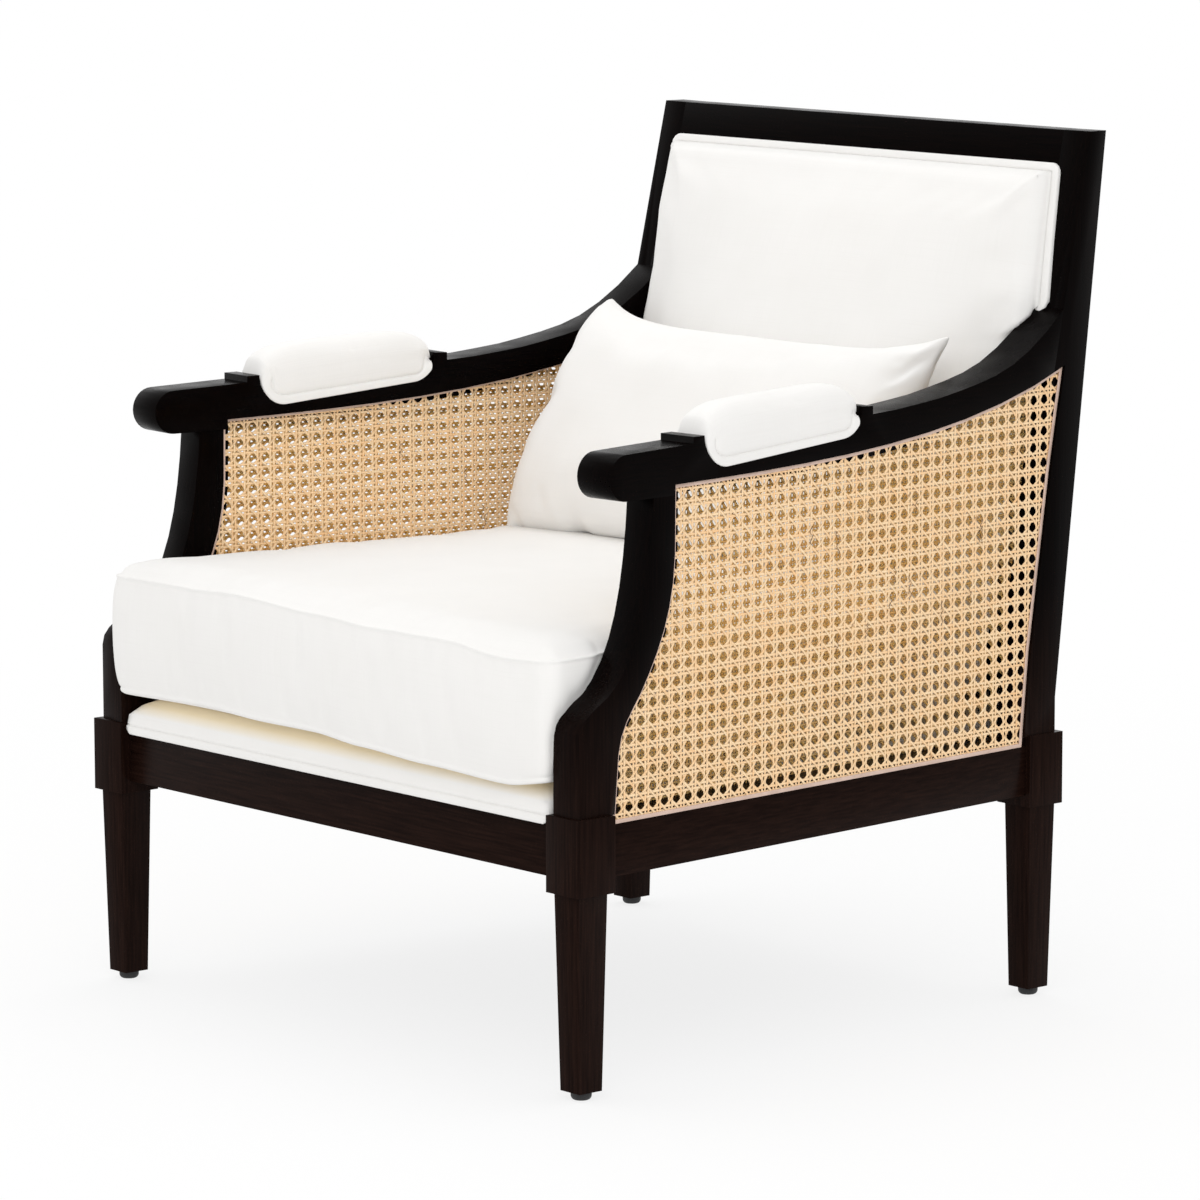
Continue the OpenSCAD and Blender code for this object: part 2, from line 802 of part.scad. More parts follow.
// Gaps of a cane sheet: those of a square pattern that lie wholly inside the spline
function front_s(z) =
  lookup(z, [for (p = concat(cane_front_edge, [[cane_top_s, cane_front_z]])) [p[1], p[0]]]);
gap_r = cane_gap / 2;
gap_edge = spline_w + cane_margin;
cane_gaps = [
  for (
    s = [cane_foot_s + gap_edge + gap_r:cane_pitch:cane_rear(cane_rear_z)],
    z = [rail_top + gap_edge + gap_r:cane_pitch:cane_rear_z]
  )
    if (
      s - gap_r > max(front_s(z - gap_r), front_s(z + gap_r)) + gap_edge
      && s + gap_r < cane_rear(z - gap_r) - gap_edge
      && z + gap_r < min(top_z(s - gap_r), top_z(s + gap_r)) - gap_edge
    )
      [s, z]
];

module cane_sheet(side, depth) {
  color(cane_colour) centred()
    in_side(side)
      plate(depth, cane_t)
        difference() {
          polygon(shrink(cane_outline, fit));
          for (p = cane_gaps)
            translate(p) rotate(22.5) circle(d = cane_gap, $fn = 8);
        }
}

module spline(side, depth) {
  color(reed_colour) centred()
    in_side(side)
      plate(depth, spline_t)
        difference() {
          polygon(shrink(cane_outline, fit));
          polygon(shrink(cane_outline, spline_w));
        }
}

outer_cane = cane_inset;
inner_cane = side_t - cane_inset - cane_t;

// Side view of a strap that runs over or under the straps that it crosses
function strap_band(from, to, crossings, parity) = concat(
  [[from, rail_top]],
  [
    for (k = [0:len(crossings) - 1])
      if ((k + parity) % 2 == 0)
        each [
          [crossings[k] - webbing_w / 2 - 4 * webbing_t, rail_top],
          [crossings[k] - webbing_w / 2, rail_top + webbing_t],
          [crossings[k] + webbing_w / 2, rail_top + webbing_t],
          [crossings[k] + webbing_w / 2 + 4 * webbing_t, rail_top]
        ]
  ],
  [[to, rail_top]]
);
function lifted(p, d) = [for (i = [len(p) - 1:-1:0]) p[i] + [0, d]];

rail_reach = frame_d / 2 - rail_setback;
strap_x_max = rear_w / 2 - collar_w - webbing_w / 2 - strap_side_margin;
strap_y_max = frame_d / 2 - collar_w - webbing_w / 2 - strap_end_margin;
strap_x = [for (i = [0:straps_along - 1]) lerp(-strap_x_max, strap_x_max, i / (straps_along - 1))];
strap_y = [for (j = [0:straps_across - 1]) lerp(-strap_y_max, strap_y_max, j / (straps_across - 1))];

module seat_webbing() {
  color(jute_colour) centred() {
    for (i = [0:straps_along - 1]) {
      p = strap_band(-rail_reach, rail_reach, strap_y, i);
      translate([strap_x[i] - webbing_w / 2, 0, 0])
        rotate([90, 0, 90])
          linear_extrude(webbing_w) polygon(concat(p, lifted(p, webbing_t)));
    }
    for (j = [0:straps_across - 1]) {
      x = inner_x(strap_y[j] + webbing_w / 2) - fit;
      p = strap_band(-x, x, strap_x, j + 1);
      translate([0, strap_y[j] + webbing_w / 2, 0])
        rotate([90, 0, 0])
          linear_extrude(webbing_w) polygon(concat(p, lifted(p, webbing_t)));
    }
  }
}

// Soft forms
// Points round a square, drawn in at its corners, anticlockwise
function soft_square(n, power) = [
  for (k = [0:3], i = [0:n - 1])
    let (
      a = -1 + 2 * i / n,
      q = k == 0 ? [a, -1] : k == 1 ? [1, a] : k == 2 ? [-a, 1] : [-1, -a]
    )
      q / pow(pow(abs(q[0]), power) + pow(abs(q[1]), power), 1 / power)
];

// A closed form over rings of equally many points, from the lowest ring up
module loft(rings) {
  n = len(rings[0]);
  m = len(rings);
  function axis(ring, a) = [for (p = ring) p[a]];
  function middle(ring) = [for (a = [0:2]) (min(axis(ring, a)) + max(axis(ring, a))) / 2];
  points = concat([for (ring = rings) each ring], [middle(rings[0]), middle(rings[m - 1])]);
  polyhedron(points, concat(
    [for (i = [0:n - 1]) [i, (i + 1) % n, n * m]],
    [for (i = [0:n - 1]) [n * (m - 1) + (i + 1) % n, n * (m - 1) + i, n * m + 1]],
    [
      for (k = [0:m - 2], i = [0:n - 1])
        let (a = k * n + i, b = k * n + (i + 1) % n)
          each [[a, b + n, b], [a, a + n, b + n]]
    ]
  ));
}

// A closed form between two sheets of points, [across][up], the front one first
module slab(front, rear) {
  w = len(front[0]);
  h = len(front);
  s = w * h;
  edge = concat(
    [for (i = [0:w - 1]) i],
    [for (j = [1:h - 1]) j * w + w - 1],
    [for (i = [w - 2:-1:0]) (h - 1) * w + i],
    [for (j = [h - 2:-1:1]) j * w]
  );
  points = concat([for (row = front) each row], [for (row = rear) each row]);
  polyhedron(points, concat(
    [
      for (j = [0:h - 2], i = [0:w - 2])
        let (a = j * w + i, b = s + a)
          each [
            [a, a + w + 1, a + 1], [a, a + w, a + w + 1],
            [b, b + 1, b + w + 1], [b, b + w + 1, b + w]
          ]
    ],
    [
      for (i = [0:len(edge) - 1])
        let (a = edge[i], b = edge[(i + 1) % len(edge)])
          each [[a, b, s + b], [a, s + b, s + a]]
    ]
  ));
}

// Plan of a soft piece between the side frames: a square's point drawn over the seat
function seat_point(q, y0, y1, gap, draw, z) =
  let (y = lerp(y0, y1, (q[1] + 1) / 2))
    [
      q[0] * (inner_x(y) - gap - draw * (1 - q[1] * q[1])),
      y - q[1] * draw * (1 - q[0] * q[0]),
      z
    ];

webbing_top = rail_top + 2 * webbing_t;
deck_y0 = -frame_d / 2 + deck_setback;
deck_y1 = side_y(stile_foot_s - outback_sink - outback_t) - fit;
deck_power = 100;
seat_corners = [[-1, -1], [1, -1], [1, 1], [-1, 1]];

// A plan of straight sides, drawn in by m all round
function seat_plan(y0, y1, gap, m) = [
  for (q = seat_corners)
    let (p = seat_point(q, y0 + m, y1 - m, gap + m, 0, 0))
      [p[0], p[1]]
];

module seat_deck() {
  square_points = soft_square(8, deck_power);
  flange_z = webbing_top + deck_flange_h;
  under = deck_flange_t + fit;
  function deck_ring(m, z) =
    [for (q = square_points) seat_point(q, deck_y0 + m, deck_y1 - m, deck_side_gap + m, 0, z)];
  color(fabric_colour) centred()
    difference() {
      loft(concat(
        [deck_ring(under, webbing_top), deck_ring(under, flange_z), deck_ring(1, flange_z)],
        [
          for (a = [0:30:90])
            deck_ring(deck_round * (1 - cos(a)), deck_top - deck_round * (1 - sin(a)))
        ]
      ));
      collars(fit);
    }
}

// The flange sewn round the deck, over its lower edge
module deck_flange() {
  color(fabric_colour) centred()
    difference() {
      translate([0, 0, webbing_top])
        linear_extrude(deck_flange_h)
          difference() {
            polygon(seat_plan(deck_y0, deck_y1, deck_side_gap, 0));
            polygon(seat_plan(deck_y0, deck_y1, deck_side_gap, deck_flange_t));
          }
      collars(fit);
    }
}

module dust_cover() {
  gap = rail_outer + dust_margin;
  y = rail_reach - dust_margin;
  color(black_colour) centred()
    difference() {
      translate([0, 0, rail_bottom - dust_t])
        linear_extrude(dust_t)
          polygon(seat_plan(-y, y, gap, 0));
      collars(fit);
    }
}

// A band of the back, between two depths behind the stiles' front edges
module back_band(z0, z1, d0, d1, gap) {
  steps = z0 < stile_joint_z && z1 > stile_joint_z ? [z0, stile_joint_z, z1] : [z0, z1];
  intersection() {
    across()
      polygon(concat(
        [for (z = steps) [side_y(stile_front(z) + d0), z]],
        [for (i = [len(steps) - 1:-1:0]) [side_y(stile_front(steps[i]) + d1), steps[i]]]
      ));
    between_sides(gap);
  }
}

back_pad_bottom = deck_top + back_pad_gap;
back_strap_z = [0.16, 0.38, 0.6, 0.82];
back_strap_x = [-0.62, 0, 0.62];

module back_webbing() {
  d = back_pad_sink + fit;
  color(jute_colour) centred() {
    for (f = back_strap_z) {
      z = lerp(back_rail_z, crest_bottom, f);
      back_band(z, z + webbing_w, d, d + webbing_t, 0);
    }
    for (f = back_strap_x)
      intersection() {
        back_band(back_rail_z, crest_bottom, d + webbing_t - fit, back_rail_sink, 0);
        translate([f * inner_x(frame_d / 2), 0, back_h / 2])
          cube([webbing_w, 2 * frame_d, back_h], center = true);
      }
  }
}

module arm_room() {
  for (side = [left, right])
    in_side(side)
      plate(0, arm_w + fit) polygon(arm_outline);
}

// The inside back pad: flat behind, crowned in front with rounded edges
pad_u = [-1, -0.985, -0.95, -0.88, -0.7, -0.4, 0, 0.4, 0.7, 0.88, 0.95, 0.985, 1];
back_pad_top = crest_bottom - back_flange_w - fit;
pad_bend = 2 * (stile_joint_z - back_pad_bottom) / (back_pad_top - back_pad_bottom) - 1;
pad_v = [for (u = pad_u) u == 0 ? pad_bend : u];
function edge_round(u) = sqrt(max(0, 1 - pow(abs(u), 16)));

module back_pad() {
  function pad_point(u, v, front) =
    let (
      z = lerp(back_pad_bottom, back_pad_top, (v + 1) / 2),
      w = inner_x(side_y(stile_front(z) + back_pad_sink), back_flange_w + fit),
      body = back_pad_t * edge_round(u) * edge_round(v) + back_pad_crown * (1 - u * u) * (1 - v * v),
      d = front ? -body : back_pad_sink
    )
      [u * w, side_y(stile_front(z) + d), z];
  color(fabric_colour) centred()
    difference() {
      slab(
        [for (v = pad_v) [for (u = pad_u) pad_point(u, v, true)]],
        [for (v = pad_v) [for (u = pad_u) pad_point(u, v, false)]]
      );
      arm_room();
    }
}

module back_pad_flange() {
  color(fabric_colour) centred()
    difference() {
      back_band(back_rail_z, crest_bottom, -back_flange_proud, back_pad_sink, 0);
      back_band(back_rail_z - cut, crest_bottom - back_flange_w, -far, far, back_flange_w);
      arm_room();
    }
}

module outside_back_panel() {
  z0 = webbing_top + fit;
  color(fabric_colour) centred()
    difference() {
      intersection() {
        across()
          polygon([
            for (p = [[z0, -1], [stile_bend_z, -1], [crest_bottom, -1],
              [crest_bottom, 0], [stile_bend_z, 0], [z0, 0]])
              [side_y(stile_rear(p[0]) - outback_sink + p[1] * outback_t), p[0]]
          ]);
        between_sides(0);
      }
      collars(fit);
    }
}

// Arm pads: a dome over the arm whose sides hang down to the flange
pad_stations = [0, 0.02, 0.06, 0.12, 0.22, 0.38, 0.5, 0.62, 0.78, 0.88, 0.94, 0.98, 1];
// Power of the crown's curve along a pad: higher is fuller towards the ends
pad_fullness = 6;

module arm_pad(side) {
  m = pad_flange_w;
  w = arm_w / 2 + pad_overhang;
  n = 12;
  function pad_ring(f) =
    let (
      s = lerp(pad_s0 + m, pad_s1 - m, f),
      u = 2 * f - 1,
      low = pad_low(s, m),
      top = max(low + 1, arm_top(s) + pad_crown * pow(max(0, 1 - pow(abs(u), pad_fullness)), 0.6))
    )
      [
        for (i = [0:n])
          let (a = 180 * i / n, c = cos(a))
            [-w * sign(c) * pow(abs(c), 0.4), s, low + (top - low) * pow(sin(a), 0.6)]
      ];
  color(fabric_colour) centred()
    difference() {
      in_side(side)
        translate([-side_inset - arm_w / 2, 0, 0])
          loft([for (f = pad_stations) pad_ring(f)]);
      in_side(side)
        plate(pad_sink, arm_w - 2 * pad_sink)
          polygon([
            [pad_s0 - cut, arm_bottom], [pad_s1 + cut, arm_bottom],
            [pad_s1 + cut, arm_top(pad_s1 + cut) - pad_sink], [pad_s0 - cut, arm_top(pad_s0 - cut) - pad_sink]
          ]);
      pad_board(side, fit);
    }
}

pad_board_inset = 1;

module pad_board(side, grow) {
  s0 = pad_s0 + pad_rx / 2 - grow;
  s1 = pad_s1 - pad_rx / 2 + grow;
  depth = pad_sink + pad_board_inset - grow;
  in_side(side)
    plate(depth, arm_w - 2 * depth)
      polygon([
        [s0, arm_top(s0) - pad_sink], [s1, arm_top(s1) - pad_sink],
        [s1, arm_top(s1) - pad_sink + pad_board_t + grow], [s0, arm_top(s0) - pad_sink + pad_board_t + grow]
      ]);
}

module arm_pad_flange(side) {
  color(fabric_colour) centred()
    in_side(side)
      for (depth = [-pad_flange_proud, arm_w - pad_sink])
        plate(depth, pad_sink + pad_flange_proud)
          difference() {
            polygon(pad_side(0, 0));
            polygon(pad_side(pad_flange_w, cut));
          }
}

module arm_pad_boards() {
  color(beech_colour) centred()
    for (side = [left, right])
      difference() {
        pad_board(side, 0);
        pad_screws(side, fit);
      }
}

module arm_pad_screws() {
  color(steel_colour) centred()
    for (side = [left, right]) pad_screws(side, 0);
}

// Seat cushion
cushion_z = deck_top + rest_gap;
cushion_seam_z = cushion_z + seam_rise + boxing_h;
cushion_y0 = -frame_d / 2 + cushion_setback;
cushion_y1 = cushion_y0 + cushion_d;
cushion_power = 24;

function cushion_ring(points, m, r, z) = [
  for (q = points)
    seat_point(q * r, cushion_y0 + m, cushion_y1 - m, cushion_side_gap + m, cushion_draw, z)
];

// Height of the cushion's crown on a ring of a given reach
function crown_z(r) = cushion_seam_z + cushion_crown * (1 - pow(r, 2.6));

module cushion_core(grow) {
  translate([0, 0, cushion_z + wadding_t / 2 - grow])
    linear_extrude(boxing_h - wadding_t / 2 + 2 * grow)
      polygon(seat_plan(cushion_y0, cushion_y1, cushion_side_gap, wadding_t - grow));
}

module seat_cushion_cover() {
  points = soft_square(12, cushion_power);
  low_seam_z = cushion_z + seam_rise;
  color(fabric_colour) centred()
    difference() {
      loft([
        cushion_ring(points, boxing_bulge, 0.94, cushion_z),
        for (f = [0, 0.3, 0.7, 1])
          cushion_ring(points, f == 0 || f == 1 ? boxing_bulge : 0, 1, lerp(low_seam_z, cushion_seam_z, f)),
        for (r = [0.97, 0.9, 0.78, 0.6, 0.38, 0.16])
          cushion_ring(points, boxing_bulge, r, crown_z(r))
      ]);
      cushion_core(fit);
    }
}

module seat_cushion_core() {
  color(foam_colour) centred() cushion_core(0);
}

// Lumbar pillow: two panels sewn at a knife edge, with ears at its corners
pillow_y = -frame_d / 2 + pillow_setback;
pillow_u = [-1, -0.96, -0.86, -0.68, -0.38, 0, 0.38, 0.68, 0.86, 0.96, 1];
pillow_up = [0, sin(pillow_lean), cos(pillow_lean)];
pillow_front = [0, -cos(pillow_lean), sin(pillow_lean)];

// A point of the pillow's front or rear panel, drawn in by m, over the middle of its lower edge
function pillow_point(u, v, f, m) =
  [u * (pillow_w / 2 - m - pillow_draw * (1 - v * v)), 0, 0]
  + pillow_up * (pillow_h / 2 + v * (pillow_h / 2 - m - pillow_draw * (1 - u * u)))
  + pillow_front * f / 2
    * (pillow_seam_t + (pillow_t - 2 * m) * pow(1 - pow(abs(u), 3.2), 0.8) * pow(1 - pow(abs(v), 2.4), 0.8));

// Height of the cushion's crown at a place
function cushion_reach(x, y) =
  let (
    u = x / (inner_x(y) - cushion_side_gap - cushion_draw / 2),
    v = (y - (cushion_y0 + cushion_y1) / 2) / (cushion_d / 2)
  )
    pow(pow(abs(u), cushion_power) + pow(abs(v), cushion_power), 1 / cushion_power);
pillow_z = rest_gap + max([
  for (u = pillow_u, v = pillow_u, f = [-1, 1])
    let (p = pillow_point(u, v, f, 0))
      crown_z(min(1, cushion_reach(p[0], pillow_y + p[1]))) - p[2]
]);

module pillow(m) {
  translate([0, pillow_y, pillow_z])
    slab(
      [for (v = pillow_u) [for (u = pillow_u) pillow_point(u, v, 1, m)]],
      [for (v = pillow_u) [for (u = pillow_u) pillow_point(u, v, -1, m)]]
    );
}

module lumbar_pillow_cover() {
  color(fabric_colour) centred()
    difference() {
      pillow(0);
      pillow(pillow_wadding_t);
    }
}

module lumbar_pillow_insert() {
  color(foam_colour) centred() pillow(pillow_wadding_t + fit);
}

front_leg(right);  // front_leg_right
front_leg(left);  // front_leg_left
rear_leg(right);  // rear_leg_right
rear_leg(left);  // rear_leg_left
arm(right);  // arm_right
arm(left);  // arm_left
cross_rail(-1);  // front_rail
cross_rail(1);  // rear_rail
side_rail(right);  // side_rail_right
side_rail(left);  // side_rail_left
crest_rail();
lower_back_rail();
corner_blocks();
corner_block_screws();
joint_dowels();
glides();
cane_sheet(right, outer_cane);  // cane_outer_right
cane_sheet(right, inner_cane);  // cane_inner_right
cane_sheet(left, outer_cane);  // cane_outer_left
cane_sheet(left, inner_cane);  // cane_inner_left
spline(right, outer_cane - spline_t);  // spline_outer_right
spline(right, inner_cane + cane_t);  // spline_inner_right
spline(left, outer_cane - spline_t);  // spline_outer_left
spline(left, inner_cane + cane_t);  // spline_inner_left
seat_webbing();
seat_deck();
deck_flange();
dust_cover();
back_webbing();
back_pad();
back_pad_flange();
outside_back_panel();
arm_pad(right);  // arm_pad_right
arm_pad(left);  // arm_pad_left
arm_pad_flange(right);  // arm_pad_flange_right
arm_pad_flange(left);  // arm_pad_flange_left
arm_pad_boards();
arm_pad_screws();
seat_cushion_cover();
seat_cushion_core();
lumbar_pillow_cover();
lumbar_pillow_insert();
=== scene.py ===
"""Cane armchair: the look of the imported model. Metres, X across, -Y the front, Z up."""
import math

import bmesh
import bpy
import numpy as np
from mathutils import Matrix, Vector, noise
from mathutils.bvhtree import BVHTree


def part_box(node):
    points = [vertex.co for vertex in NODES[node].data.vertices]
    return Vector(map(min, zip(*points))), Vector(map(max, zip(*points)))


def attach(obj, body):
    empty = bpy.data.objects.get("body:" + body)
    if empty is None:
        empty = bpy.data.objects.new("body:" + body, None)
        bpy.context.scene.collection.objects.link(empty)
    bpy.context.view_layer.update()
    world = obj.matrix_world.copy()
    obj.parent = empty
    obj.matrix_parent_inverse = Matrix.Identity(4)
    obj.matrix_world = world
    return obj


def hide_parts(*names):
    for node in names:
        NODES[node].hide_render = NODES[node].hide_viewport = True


MM = 0.001
SEED = 7

# The photograph's camera, as it was solved
CAMERA_AT = Vector((4.44711, -3.85161, 1.28574))
CAMERA_TARGET = Vector((0.0137, -0.0315, 0.4017))
CAMERA_LENS = 176.77
CAMERA_ROLL = math.radians(-0.0918)

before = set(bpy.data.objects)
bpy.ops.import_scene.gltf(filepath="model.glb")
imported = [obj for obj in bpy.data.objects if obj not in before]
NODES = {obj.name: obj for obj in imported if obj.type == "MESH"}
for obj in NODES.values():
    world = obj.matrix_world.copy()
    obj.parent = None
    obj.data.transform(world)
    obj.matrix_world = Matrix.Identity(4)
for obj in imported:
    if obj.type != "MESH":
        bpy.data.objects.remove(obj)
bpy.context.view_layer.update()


def node_points(name):
    """The corners of a CAD node's mesh, one row each."""
    mesh = NODES[name].data
    points = np.empty(len(mesh.vertices) * 3)
    mesh.vertices.foreach_get("co", points)
    return points.reshape(-1, 3)


# Least cosine between a face's normal and the way it's to look
ROUGHLY_THAT_WAY = 0.8


def flat_normal(name, towards):
    """The normal of a node's largest flat side of those that look a given way."""
    areas = {}
    for face in NODES[name].data.polygons:
        if face.normal.dot(towards) > ROUGHLY_THAT_WAY:
            key = tuple(round(c, 3) for c in face.normal)
            area, normal = areas.get(key, (0, face.normal.copy()))
            areas[key] = (area + face.area, normal)
    return np.array(max(areas.values(), key=lambda pair: pair[0])[1].normalized())


# Search trees of the CAD nodes' meshes, by name
TREES = {}


def ray_hit(name, start, direction):
    """Where a ray meets a CAD node, or None."""
    if name not in TREES:
        mesh = NODES[name].data
        corners = [vertex.co for vertex in mesh.vertices]
        TREES[name] = BVHTree.FromPolygons(corners, [face.vertices for face in mesh.polygons])
    return TREES[name].ray_cast(Vector(start), Vector(direction))[0]


# The right side frame's own axes: s along it from the front collar, d outwards, z up
SIDE_OUT = flat_normal("cane_outer_right", Vector((1, 0, 0)))
SIDE_ALONG = np.array([-SIDE_OUT[1], SIDE_OUT[0], 0])
COLLAR = np.array([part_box("front_leg_right")[1].x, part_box("front_leg_right")[0].y, 0])
UP = np.array([0.0, 0.0, 1.0])
ACROSS = np.array([1.0, 0.0, 0.0])
# A height over all collars and rails, to tell the posts from the legs
OVER_RAILS = 0.3


def side_point(s, d, z):
    """Points of the right side frame from their s, d and z."""
    s, d, z = (np.asarray(value, float)[..., None] for value in (s, d, z))
    return COLLAR + s * SIDE_ALONG + d * SIDE_OUT + z * UP


def side_coordinates(points):
    """The s, d and z of points near the right side frame."""
    away = points - COLLAR
    return np.stack([away @ SIDE_ALONG, away @ SIDE_OUT, away[..., 2]], -1)


def mirrored(points, side):
    """Points of the right side (1), or their like on the left (-1)."""
    return points * np.array([side, 1, 1])


LEG = side_coordinates(node_points("front_leg_right"))
FRAME_IN = LEG[LEG[:, 2] > OVER_RAILS][:, 1].min()


def inner_x(y):
    """Half the distance between the side frames' inner faces, along the chair."""
    return COLLAR[0] + (FRAME_IN - (y - COLLAR[1]) * SIDE_OUT[1]) / SIDE_OUT[0]


# Meshes

WELD = 0.02 * MM


class Cloth:
    """Gathers grids of points into one mesh that carries the cloth's own coordinates, in metres."""

    def __init__(self):
        self.points, self.faces, self.cloth, self.seam = [], [], [], []
        self.count = 0

    def grid(self, points, cloth, seam=None):
        """Adds a grid of points with their places in the cloth. The seam is 1 where they're held."""
        rows, columns = points.shape[:2]
        number = np.arange(rows * columns).reshape(rows, columns) + self.count
        corners = [number[:-1, :-1], number[:-1, 1:], number[1:, 1:], number[1:, :-1]]
        self.faces.append(np.stack(corners, -1).reshape(-1, 4))
        self.points.append(points.reshape(-1, 3))
        self.cloth.append(cloth.reshape(-1, 2))
        self.seam.append(np.zeros(rows * columns) if seam is None else seam.reshape(-1))
        self.count += rows * columns

    def build(self, name, body, material):
        """Makes one mesh of the grids, with their edges welded."""
        points = np.concatenate(self.points)
        faces = np.concatenate(self.faces)
        cloth = np.concatenate(self.cloth)
        obj = mesh_object(name, points, faces, body, material)
        layer = obj.data.uv_layers.new(name="cloth")
        layer.data.foreach_set("uv", cloth[faces.reshape(-1)].reshape(-1))
        seam = obj.data.attributes.new("seam", "FLOAT", "POINT")
        seam.data.foreach_set("value", np.concatenate(self.seam))
        work = bmesh.new()
        work.from_mesh(obj.data)
        bmesh.ops.remove_doubles(work, verts=work.verts, dist=WELD)
        bmesh.ops.dissolve_degenerate(work, edges=work.edges, dist=WELD / 2)
        bmesh.ops.recalc_face_normals(work, faces=work.faces)
        work.to_mesh(obj.data)
        work.free()
        obj.data.shade_smooth()
        return obj


def placed(name, data):
    """A new object in the scene."""
    obj = bpy.data.objects.new(name, data)
    bpy.context.scene.collection.objects.link(obj)
    return obj


def mesh_object(name, points, faces, body, material):
    """A smooth mesh of four-sided faces that rides on a body."""
    mesh = bpy.data.meshes.new(name)
    mesh.vertices.add(len(points))
    mesh.vertices.foreach_set("co", np.asarray(points, float).reshape(-1))
    mesh.loops.add(faces.size)
    mesh.loops.foreach_set("vertex_index", faces.reshape(-1).astype(np.int32))
    mesh.polygons.add(len(faces))
    mesh.polygons.foreach_set("loop_start", np.arange(0, faces.size, faces.shape[1], dtype=np.int32))
    mesh.update(calc_edges=True)
    mesh.shade_smooth()
    obj = placed(name, mesh)
    obj.data.materials.append(material)
    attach(obj, body)
    return obj


def square_grid(across, along):
    """Two arrays that run from -1 to 1 over a grid."""
    return np.meshgrid(np.linspace(-1, 1, across + 1), np.linspace(-1, 1, along + 1), indexing="ij")


def paired(across, down):
    """Each place of a row with each place of a column: a grid's places in its cloth."""
    return np.stack(np.broadcast_arrays(across, down), -1)


def rim(grid):
    """The points round the edge of a grid, once round and back to the first."""
    edges = [grid[:, 0], grid[-1, 1:], grid[-2::-1, -1], grid[0, -2::-1]]
    return np.concatenate(edges)


def rounded(u, v, half_u, half_v, radius):
    """Carries a square from -1 to 1 onto a rectangle with round corners, as distances from its middle."""
    x, y = u * half_u, v * half_v
    a = (np.abs(x) - (half_u - radius)) / radius
    b = (np.abs(y) - (half_v - radius)) / radius
    corner = (a > 0) & (b > 0)
    a, b = np.where(corner, a, 0), np.where(corner, b, 0)
    round_x = half_u - radius + radius * a * np.sqrt(1 - b * b / 2)
    round_y = half_v - radius + radius * b * np.sqrt(1 - a * a / 2)
    return np.where(corner, np.sign(x) * round_x, x), np.where(corner, np.sign(y) * round_y, y)


def unit(rows):
    """The same directions, each with length 1."""
    return rows / (np.linalg.norm(rows, axis=1)[:, None] + 1e-9)


def run_of(points):
    """Distance run along a row of points."""
    steps = np.linalg.norm(np.diff(points, axis=0), axis=1)
    return np.concatenate([[0], np.cumsum(steps)])


def wander(points, waves, seed):
    """Smooth noise at points: waves is how many swings go into a metre."""
    flat = points.reshape(-1, points.shape[-1])
    shift = Vector((seed * 3.7, seed * 1.3, seed * 7.1))
    values = [noise.noise(Vector(p).to_3d() * waves + shift) for p in flat]
    return np.array(values).reshape(points.shape[:-1])


# Corners of a thin thread's section
DIAMOND = ((-1, 0), (0, 1), (1, 0), (0, -1))
# A stitch's rings: place along it, and swelling
STITCH_SHAPE = ((0, 0.0), (0.2, 1.0), (0.8, 1.0), (1, 0.0))
STITCH_SPACING = 4.2 * MM
STITCH_LENGTH = 3.0 * MM
STITCH_R = 0.32 * MM


def stitches(path, outwards):
    """Short raised threads along a row of points, as points and faces."""
    run = run_of(path)
    starts = np.arange(0, run[-1] - STITCH_SPACING, STITCH_SPACING)

    def at(places, rows):
        return np.stack([np.interp(places, run, rows[:, i]) for i in range(3)], -1)

    out = at(starts, outwards)
    side = unit(np.cross(at(starts + STITCH_LENGTH, path) - at(starts, path), out))
    rings = []
    for f, swell in STITCH_SHAPE:
        middle = at(starts + f * STITCH_LENGTH, path)
        r = STITCH_R * (0.25 + 0.75 * swell)
        corners = [middle + side * a * r + out * b * r * swell for a, b in DIAMOND]
        rings.append(np.stack(corners, 1))
    points = np.stack(rings, 1)
    number = np.arange(points.size // 3).reshape(points.shape[:3])
    after = np.roll(number, -1, axis=2)
    faces = np.stack([number[:, :-1], after[:, :-1], after[:, 1:], number[:, 1:]], -1)
    return points.reshape(-1, 3), faces.reshape(-1, 4)


# Materials


